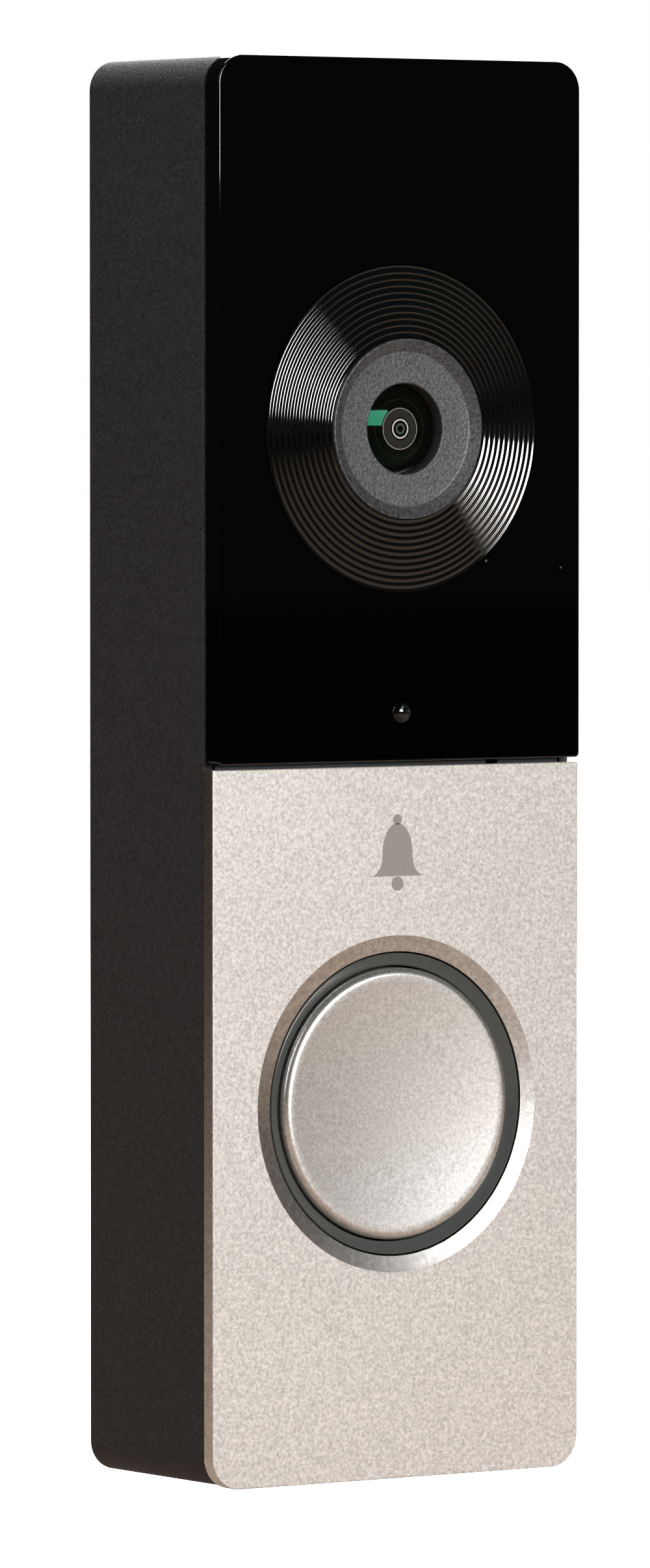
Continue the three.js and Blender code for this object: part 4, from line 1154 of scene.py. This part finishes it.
@dataclass
class Camera:
    """The camera's ridged shroud, bezel, barrel and lenses, and the small sensor lens."""

    shop: FinishShop
    ridges: int = 11
    ridge_height: float = 0.045 * MM
    ridge_steps: int = 12
    lip: float = 0.08 * MM
    spigot: float = 12.6 * MM
    bezel_flat: float = 7.24 * MM
    bezel_dish: float = 0.58 * MM
    bezel_bore: float = 4.26 * MM
    bezel_seat: float = 1.9 * MM
    lens_drop: float = 0.9 * MM
    shoulder_curve: float = 12.0 * MM
    middle_radius: float = 2.0 * MM
    middle_curve: float = 26.0 * MM
    middle_drop: float = 0.08 * MM
    lens_steps: int = 16
    bezel_soft: float = 0.15 * MM
    barrel_step: float = 2.6 * MM
    sensor_narrow: float = 1.6  # how many times wider the sensor's flange is than its dome
    sensor_foot: float = 0.7 * MM
    rings: tuple[Ring, ...] = (
        (2.75 * MM, 0.05 * MM, (0.018, 0.013, 0.008)),
        (1.93 * MM, 0.10 * MM, (0.20, 0.19, 0.17)),
        (1.45 * MM, 0.75 * MM, (0.022, 0.022, 0.018)),
        (0.86 * MM, 0.14 * MM, (0.50, 0.49, 0.44)),
        (0.42 * MM, 0.20 * MM, (0.05, 0.075, 0.05)),
    )

    def shroud(self) -> Workpiece:
        """Models the low cone, turned with round ridges like a record's.

        Returns:
            The shroud.
        """
        seat = Seat.of("lens_shroud")
        window = Seat.of("camera_window")
        inner = Seat.of("lens_bezel").radius + SEAM
        rim = window.front + self.lip
        flange = window.back + SEAM
        profile = Profile().to(inner, seat.back).to(self.spigot, seat.back).to(self.spigot, flange)
        profile.to(seat.radius, flange)
        count = self.ridges * self.ridge_steps
        for i in range(count + 1):
            share = i / count
            wave = 1 - math.cos(FULL_TURN * self.ridges * share)
            level = rim + (seat.front - rim) * share - self.ridge_height * wave
            profile.to(seat.radius + (inner - seat.radius) * share, level)
        return Workpiece.spun("ridged_shroud", profile, (seat.x, 0.0, seat.z), steps=FINE_TURN)

    def bezel(self) -> Workpiece:
        """Models the bezel: a crest, a cone down to a flat, and the bore.

        Returns:
            The bezel.
        """
        seat = Seat.of("lens_bezel")
        barrel = Seat.of("lens_barrel").radius + GAP
        flat = seat.front - self.bezel_dish
        rest = flat - self.bezel_seat
        soft = self.bezel_soft
        profile = Profile().to(barrel, seat.back).to(seat.radius, seat.back)
        profile.arc((seat.radius - soft, seat.front - soft), (soft, soft), (0, 90), 5)
        profile.to(self.bezel_flat + soft, flat + soft / 2).to(self.bezel_flat, flat)
        profile.arc((self.bezel_bore + soft, flat - soft), (soft, soft), (90, 180), 5)
        profile.to(self.bezel_bore, rest).to(barrel, rest)
        return Workpiece.spun("bezel_ring", profile, (seat.x, 0.0, seat.z))

    def barrel(self) -> Workpiece:
        """Models the black barrel with its stepped bore.

        Returns:
            The barrel.
        """
        seat, ring = Seat.of("lens_barrel"), Seat.of("aperture_ring")
        bore, step = ring.radius + SEAM, self.barrel_step
        profile = Profile().to(step, seat.back).to(seat.radius, seat.back)
        profile.to(seat.radius, seat.front).to(bore, seat.front)
        profile.to(bore, ring.back - SEAM).to(step, ring.back - SEAM)
        return Workpiece.spun("black_barrel", profile, (seat.x, 0.0, seat.z), steps=96)

    def front_glass(self) -> Workpiece:
        """Models the front lens: a domed shoulder, a fine groove and an almost flat middle.

        Returns:
            The lens.
        """
        seat = Seat.of("front_lens")
        profile = Profile().to(0, seat.back).to(seat.radius, seat.back)
        profile.to(seat.radius, seat.front - self.lens_drop)
        edge, rim = self.middle_radius + SEAM, seat.front - self.middle_drop
        steps = self.lens_steps
        for i in range(steps + 1):
            radius = seat.radius - SEAM + (edge - seat.radius + SEAM) * i / steps
            profile.to(radius, rim - (radius ** 2 - edge ** 2) / (2 * self.shoulder_curve))
        profile.to(self.middle_radius + SEAM / 2, rim - SEAM).to(self.middle_radius, rim)
        for i in range(1, steps + 1):
            radius = self.middle_radius * (1 - i / steps)
            lift = (self.middle_radius ** 2 - radius ** 2) / (2 * self.middle_curve)
            profile.to(radius, rim + lift)
        return Workpiece.spun("front_glass", profile, (seat.x, 0.0, seat.z), steps=128)

    def sensor(self) -> Workpiece:
        """Models the small clear lens under the camera.

        Returns:
            The lens.
        """
        seat = Seat.of("sensor_lens")
        start = Seat.of("camera_window").front - SEAM
        radius, foot = seat.radius / self.sensor_narrow, seat.back + self.sensor_foot
        profile = Profile().to(0, seat.back).to(seat.radius, seat.back)
        profile.to(seat.radius, foot).to(radius, foot)
        profile.arc((0, start), (radius, seat.front - start), (0, 90), 14)
        return Workpiece.spun("sensor_dome", profile, (seat.x, 0.0, seat.z), steps=64)

    def dress(self) -> None:
        """Builds the camera's pieces and gives them their finishes."""
        paint = self.shop.material
        self.shroud().finish(CASE, "window_gloss", paint("turned_gloss"), ("lens_shroud",), 40)
        self.bezel().finish(CASE, "bezel_grey", paint("bezel_grey"), ("lens_bezel",))
        self.barrel().finish(CASE, "inner_plastic", paint("inner_plastic"), ("lens_barrel",))
        self.sensor().finish(CASE, "lens_glass", paint("lens_glass"), ("sensor_lens",))
        seat = Seat.of("front_lens")
        ringed = self.shop.ringed_glass((seat.x, 0.0, seat.z), self.rings)
        self.front_glass().finish(CASE, "lens_glass", ringed, ("front_lens",), 24)


@dataclass
class DoorButton:
    """The button cap, the light ring round it and the soft boot behind it."""

    shop: FinishShop
    cap_round: float = 0.75 * MM
    cap_dish: float = 0.45 * MM
    dish_steps: int = 24
    ring_flange_thickness: float = 0.8 * MM
    ring_slope: float = 0.69 * MM
    ring_round: float = 0.16 * MM
    cap_gap: float = 0.18 * MM
    boot_wall: float = 2.0 * MM
    boot_round: float = 0.3 * MM

    def cap(self) -> Workpiece:
        """Models the cap, with a round edge and a shallow dish.

        Returns:
            The cap.
        """
        seat = Seat.of("button_cap")
        crest = seat.radius - self.cap_round
        profile = Profile().to(0, seat.back).to(seat.radius, seat.back)
        soft = self.cap_round
        profile.arc((crest, seat.front - soft), (soft, soft), (0, 90), 10)
        steps = self.dish_steps
        for i in range(1, steps + 1):
            share = 1 - i / steps
            profile.to(crest * share, seat.front - self.cap_dish * (1 - share * share))
        return Workpiece.spun("dished_cap", profile, (seat.x, 0.0, seat.z), steps=FINE_TURN)

    def ring(self) -> Workpiece:
        """Models the light ring, whose face slopes down to the cap.

        Returns:
            The ring.
        """
        seat = Seat.of("light_ring")
        radius = seat.radius - RING_FLANGE
        bore = Seat.of("button_cap").radius + self.cap_gap
        flange = -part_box("front_frame")[1].y - SEAM
        soft = self.ring_round
        profile = Profile().to(bore, seat.back).to(radius, seat.back)
        profile.to(radius, flange - self.ring_flange_thickness)
        profile.to(seat.radius, flange - self.ring_flange_thickness)
        profile.to(seat.radius, flange).to(radius, flange)
        profile.arc((radius - soft, seat.front - soft), (soft, soft), (0, 100), 6)
        foot = seat.front - self.ring_slope - soft * 0.4
        profile.arc((bore + soft, foot), (soft, soft), (100, 180), 6)
        return Workpiece.spun("smoked_ring", profile, (seat.x, 0.0, seat.z), steps=FINE_TURN)

    def boot(self) -> Workpiece:
        """Models the soft boot that pushes the button back: a waisted sleeve with round lips.

        Returns:
            The boot.
        """
        seat = Seat.of("return_boot")
        inner, soft = seat.radius - self.boot_wall, self.boot_round
        waist = (seat.back + seat.front) / 2
        profile = Profile().to(inner + soft, seat.back)
        profile.arc((seat.radius - soft, seat.back + soft), (soft, soft), (270, 360), 5)
        profile.to(seat.radius - self.boot_wall / 4, waist)
        profile.arc((seat.radius - soft, seat.front - soft), (soft, soft), (0, 90), 5)
        profile.arc((inner + soft, seat.front - soft), (soft, soft), (90, 180), 5)
        profile.to(inner + self.boot_wall / 4, waist)
        profile.arc((inner + soft, seat.back + soft), (soft, soft), (180, 260), 5)
        return Workpiece.spun("soft_boot", profile, (seat.x, 0.0, seat.z), steps=96)

    def dress_boot(self) -> None:
        """Builds the boot and gives it a mesh of its own."""
        boot = self.boot().finish(
            CASE, "soft_seal", self.shop.material("soft_seal"), ("return_boot",))
        seat = Seat.of("return_boot")
        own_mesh(boot)

    def dress(self) -> None:
        """Builds the cap, the ring and the boot and gives them their finishes."""
        paint = self.shop.material
        self.cap().finish(BUTTON, "satin_nickel", paint("cap_nickel"), ("button_cap",))
        self.ring().finish(CASE, "smoke_clear", paint("smoke_clear"), ("light_ring",))
        self.dress_boot()


@dataclass
class Fasteners:
    """The screws that show: the lock screw below and the two terminal screws behind."""

    shop: FinishShop
    lock_head: float = 0.8 * MM
    lock_soft: float = 0.2 * MM
    lock_shank: float = 1.1 * MM
    socket_radius: float = 0.8 * MM
    socket_share: float = 0.7  # of the head's depth
    clamp_head: float = 1.2 * MM
    clamp_soft: float = 0.35 * MM
    clamp_shank: float = 1.4 * MM
    slot_width: float = 0.7 * MM
    slot_reach: float = 1.1  # the slot cutter's half length, in head radii

    def lock_screw(self) -> Workpiece:
        """Models the lock screw, with a round head and a hexagon socket.

        Returns:
            The screw.
        """
        low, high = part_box("security_screw")
        head, depth, soft = (high.x - low.x) / 2, self.lock_head, self.lock_soft
        shank, length = self.lock_shank, high.z - low.z
        centre = ((low.x + high.x) / 2, (low.y + high.y) / 2, low.z)
        profile = Profile().to(0, 0).arc((head - soft, soft), (soft, soft), (270, 360), 5)
        profile.to(head, depth).to(shank, depth).to(shank, length - soft)
        profile.to(shank - soft, length).to(0, length)
        screw = Workpiece.spun("lock_screw", profile, centre, Axis.UP, 64)
        socket = Profile.rod(self.socket_radius, -GAP, depth * self.socket_share)
        return screw.join_or_cut(Workpiece.spun("socket", socket, centre, Axis.UP, 6))

    def terminal_screw(self, seat: Seat) -> Workpiece:
        """Models the left terminal screw, with a low round head and a slot.

        Args:
            seat: the screw's seat.

        Returns:
            The screw.
        """
        depth, shank, soft = self.clamp_head, self.clamp_shank, self.clamp_soft
        profile = Profile().to(0, seat.back)
        profile.arc((seat.radius - soft, seat.back + soft), (soft, soft), (270, 360), 6)
        profile.to(seat.radius, seat.back + depth).to(shank, seat.back + depth)
        profile.to(shank, seat.front).to(0, seat.front)
        screw = Workpiece.spun("clamp_screw_left", profile, (seat.x, 0.0, seat.z), steps=64)
        half = Vector((seat.radius * self.slot_reach, depth / 2, self.slot_width / 2))
        place = Vector((seat.x, -seat.back, seat.z))
        return screw.join_or_cut(Workpiece.box("slot", place - half, place + half))

    def dress(self) -> None:
        """Builds the screws, the second terminal screw as a copy, and gives them their finishes."""
        steel, brass = self.shop.material("bright_steel"), self.shop.material("bare_brass")
        self.lock_screw().finish(CASE, "bright_steel", steel, ("security_screw",))
        left, right = Seat.of("terminal_screw_left"), Seat.of("terminal_screw_right")
        move = Vector((right.x - left.x, left.back - right.back, right.z - left.z))
        first = self.terminal_screw(left)
        second = first.twin("clamp_screw_right", move)
        first.finish(CASE, "bare_brass", brass, ("terminal_screw_left",))
        second.finish(CASE, "bare_brass", brass, ("terminal_screw_right",))


@dataclass
class CarriedNodes:
    """The frame's own nodes that stay: each gets its finish, and some get slightly softened edges.
    """

    shop: FinishShop
    soft_edge: float = 0.12 * MM
    sharp: float = 40.0  # degrees
    softened: tuple[str, ...] = (
        "wall_bracket", "terminal_block", "terminal_clamp_left", "terminal_clamp_right",
        "front_frame", "rear_gasket",
    )

    def dress(self) -> None:
        """Gives every frame node the finish of its slot."""
        slots = {part["node"]: part["material_slot"] for part in frame["record"]["subparts"]}
        for name, obj in frame["nodes"].items():
            obj.data.materials.clear()
            obj.data.materials.append(self.shop.material(slots[name]))
            if name in self.softened:
                self.soften(obj)
            LOG.info("%s: carried over in %s", name, slots[name])

    def soften(self, obj: bpy.types.Object) -> None:
        """Joins a node's loose triangles and rounds its edges slightly, with live modifiers.

        Args:
            obj: the node's object.
        """
        weld = obj.modifiers.new("weld", "WELD")
        weld.merge_threshold = WELD
        bevel = obj.modifiers.new("soft_edge", "BEVEL")
        bevel.width = self.soft_edge
        bevel.segments = 2
        bevel.limit_method = "ANGLE"
        bevel.angle_limit = math.radians(self.sharp)


# ---- Studio ----


@dataclass(frozen=True)
class SoftBox:
    """One rectangular studio light, placed round the doorbell and turned to it."""

    name: str
    azimuth: float
    elevation: float
    distance: float
    width: float
    height: float
    watts: float

    def place(self) -> None:
        """Adds the light."""
        light = bpy.data.lights.new(self.name, "AREA")
        light.shape = "RECTANGLE"
        light.size = self.width
        light.size_y = self.height
        light.energy = self.watts
        obj = bpy.data.objects.new(self.name, light)
        bpy.context.scene.collection.objects.link(obj)
        back = outward(self.azimuth, self.elevation)
        obj.location = back * self.distance
        obj.rotation_mode = "QUATERNION"
        obj.rotation_quaternion = (-back).to_track_quat("-Z", "Y")


def outward(azimuth: float, elevation: float) -> Vector:
    """Gives the direction from the doorbell to a viewer or a light.

    Args:
        azimuth: its angle round, in degrees from straight in front, to the right.
        elevation: its angle up, in degrees.

    Returns:
        The direction.
    """
    turn, rise = math.radians(azimuth), math.radians(elevation)
    level = math.cos(rise)
    return Vector((math.sin(turn) * level, -math.cos(turn) * level, math.sin(rise)))


@dataclass
class Studio:
    """The camera, the soft lights, the pale surroundings and the pale floor."""

    azimuth: float = -34.43
    elevation: float = 2.17
    distance: float = 0.9559
    lens: float = 232.9
    aim_right: float = -6.835 * MM
    aim_up: float = -1.355 * MM
    floor_size: float = 8.0
    floor_gap: float = 14 * MM  # it hangs on a wall, so light reaches under it
    near_floor: float = 0.30
    far_floor: float = 0.75
    floor_tone: Colour = (0.26, 0.18, 0.12)
    near_tone: Colour = (0.22, 0.17, 0.135)  # what glossy faces mirror, out to near_floor
    far_tone: Colour = (0.02, 0.015, 0.01)  # and beyond far_floor
    floor_paint: Colour = (0.9, 0.9, 0.9)
    floor_rough: float = 0.9
    floor_glow: float = 0.8
    sky_tone: Colour = (0.96, 0.98, 1.0)
    sky_strength: float = 0.32
    sky_mirrored: float = 0.028
    sensor: float = 36.0
    clip: Pair = (0.01, 100.0)
    lights: tuple[SoftBox, ...] = (
        SoftBox("key", 10, 10.4, 1.0, 0.40, 0.21, 8.6),
        SoftBox("left_strip", -80, 29, 0.9, 0.16, 0.68, 1.45),
        SoftBox("top", 175, 76, 0.8, 0.6, 0.35, 10.0),
        SoftBox("right_fill", 116, 20, 1.1, 0.4, 0.6, 2.5),
        SoftBox("back_fill", 140, 22, 1.1, 0.6, 0.6, 7.0),
    )

    def camera(self) -> None:
        """Adds the camera, a little to the left of the front and slightly above it."""
        back = outward(self.azimuth, self.elevation)
        turn = math.radians(self.azimuth)
        right = Vector((math.cos(turn), math.sin(turn), 0.0))
        up = back.cross(right)
        data = bpy.data.cameras.new("camera")
        data.lens = self.lens
        data.sensor_width = self.sensor
        data.clip_start, data.clip_end = self.clip
        camera = bpy.data.objects.new("camera", data)
        bpy.context.scene.collection.objects.link(camera)
        face = Vector((0.0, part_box("faceplate")[0].y, 0.0))
        camera.location = face + back * self.distance + right * self.aim_right + up * self.aim_up
        camera.rotation_mode = "QUATERNION"
        camera.rotation_quaternion = (-back).to_track_quat("-Z", "Y")
        bpy.context.scene.camera = camera

    @staticmethod
    def mix(tree: Tree, share: bpy.types.NodeSocket, first: bpy.types.Node,
            second: bpy.types.Node) -> bpy.types.Node:
        """Mixes two shaders.

        Args:
            tree: the tree that they are in.
            share: the second one's share.
            first: the first shader.
            second: the second shader.

        Returns:
            The mixing node.
        """
        both = tree.nodes.new("ShaderNodeMixShader")
        tree.links.new(share, both.inputs[0])
        tree.links.new(first.outputs[0], both.inputs[1])
        tree.links.new(second.outputs[0], both.inputs[2])
        return both

    def sky(self) -> None:
        """Makes pale surroundings that light the doorbell softly and leave gloss black dark."""
        world = bpy.data.worlds.new("surroundings")
        bpy.context.scene.world = world
        world.use_nodes = True
        tree = world.node_tree
        light = tree.nodes["Background"]
        light.inputs["Color"].default_value = (*self.sky_tone, 1.0)
        ray = tree.nodes.new("ShaderNodeLightPath")
        seen = tree.nodes.new("ShaderNodeMix")
        seen.inputs[2].default_value = self.sky_strength
        seen.inputs[3].default_value = self.sky_mirrored
        tree.links.new(ray.outputs["Is Glossy Ray"], seen.inputs[0])
        tree.links.new(seen.outputs[0], light.inputs["Strength"])
        white = tree.nodes.new("ShaderNodeBackground")
        white.inputs["Color"].default_value = WHITE
        both = self.mix(tree, ray.outputs["Is Camera Ray"], light, white)
        tree.links.new(both.outputs[0], tree.nodes["World Output"].inputs["Surface"])

    def floor(self) -> None:
        """Lays the floor: pale from above, a warm dim bounce, and clear from underneath."""
        level = CAD_BOX[0].z - self.floor_gap
        Workpiece.clear()
        bpy.ops.mesh.primitive_plane_add(size=self.floor_size, location=(0, 0, level))
        floor = Workpiece.adopt("floor").obj
        paint = bpy.data.materials.new("pale_floor")
        paint.use_nodes = True
        tree = paint.node_tree
        ray = tree.nodes.new("ShaderNodeLightPath")
        place = tree.nodes.new("ShaderNodeTexCoord")
        reach = tree.nodes.new("ShaderNodeVectorMath")
        reach.operation = "LENGTH"
        tree.links.new(place.outputs["Object"], reach.inputs[0])
        near = tree.nodes.new("ShaderNodeMapRange")
        near.inputs["From Min"].default_value = self.near_floor
        near.inputs["From Max"].default_value = self.far_floor
        tree.links.new(reach.outputs["Value"], near.inputs["Value"])
        mirrored = FinishShop.blend(
            tree, near.outputs["Result"], self.near_tone, self.far_tone)
        tone = FinishShop.blend(tree, ray.outputs["Is Glossy Ray"], self.floor_tone, mirrored)
        bounce = tree.nodes["Principled BSDF"]
        tree.links.new(tone, bounce.inputs["Base Color"])
        bounce.inputs["Specular IOR Level"].default_value = 0.0
        pale = tree.nodes.new("ShaderNodeBsdfPrincipled")
        pale.inputs["Base Color"].default_value = (*self.floor_paint, 1.0)
        pale.inputs["Emission Color"].default_value = WHITE
        pale.inputs["Emission Strength"].default_value = self.floor_glow
        for shader in (bounce, pale):
            shader.inputs["Roughness"].default_value = self.floor_rough
        both = self.mix(tree, ray.outputs["Is Camera Ray"], bounce, pale)
        shape = tree.nodes.new("ShaderNodeNewGeometry")
        clear = tree.nodes.new("ShaderNodeBsdfTransparent")
        one_sided = self.mix(tree, shape.outputs["Backfacing"], both, clear)
        tree.links.new(one_sided.outputs[0], tree.nodes["Material Output"].inputs["Surface"])
        floor.data.materials.append(paint)

    def build(self) -> None:
        """Sets up the camera, the surroundings, the floor and the lights."""
        self.camera()
        self.sky()
        self.floor()
        for light in self.lights:
            light.place()
        bpy.context.scene.view_settings.view_transform = "Standard"


def main() -> None:
    """Builds the studio and the doorbell's sub-assemblies, in order."""
    logging.basicConfig(level=logging.INFO, format="%(name)s: %(message)s")
    Studio().build()
    shop = FinishShop()
    CarriedNodes(shop).dress()
    for assembly in (Housing, FrontPlates, Camera, DoorButton, Fasteners):
        assembly(shop).dress()


if __name__ == "__main__":
    main()
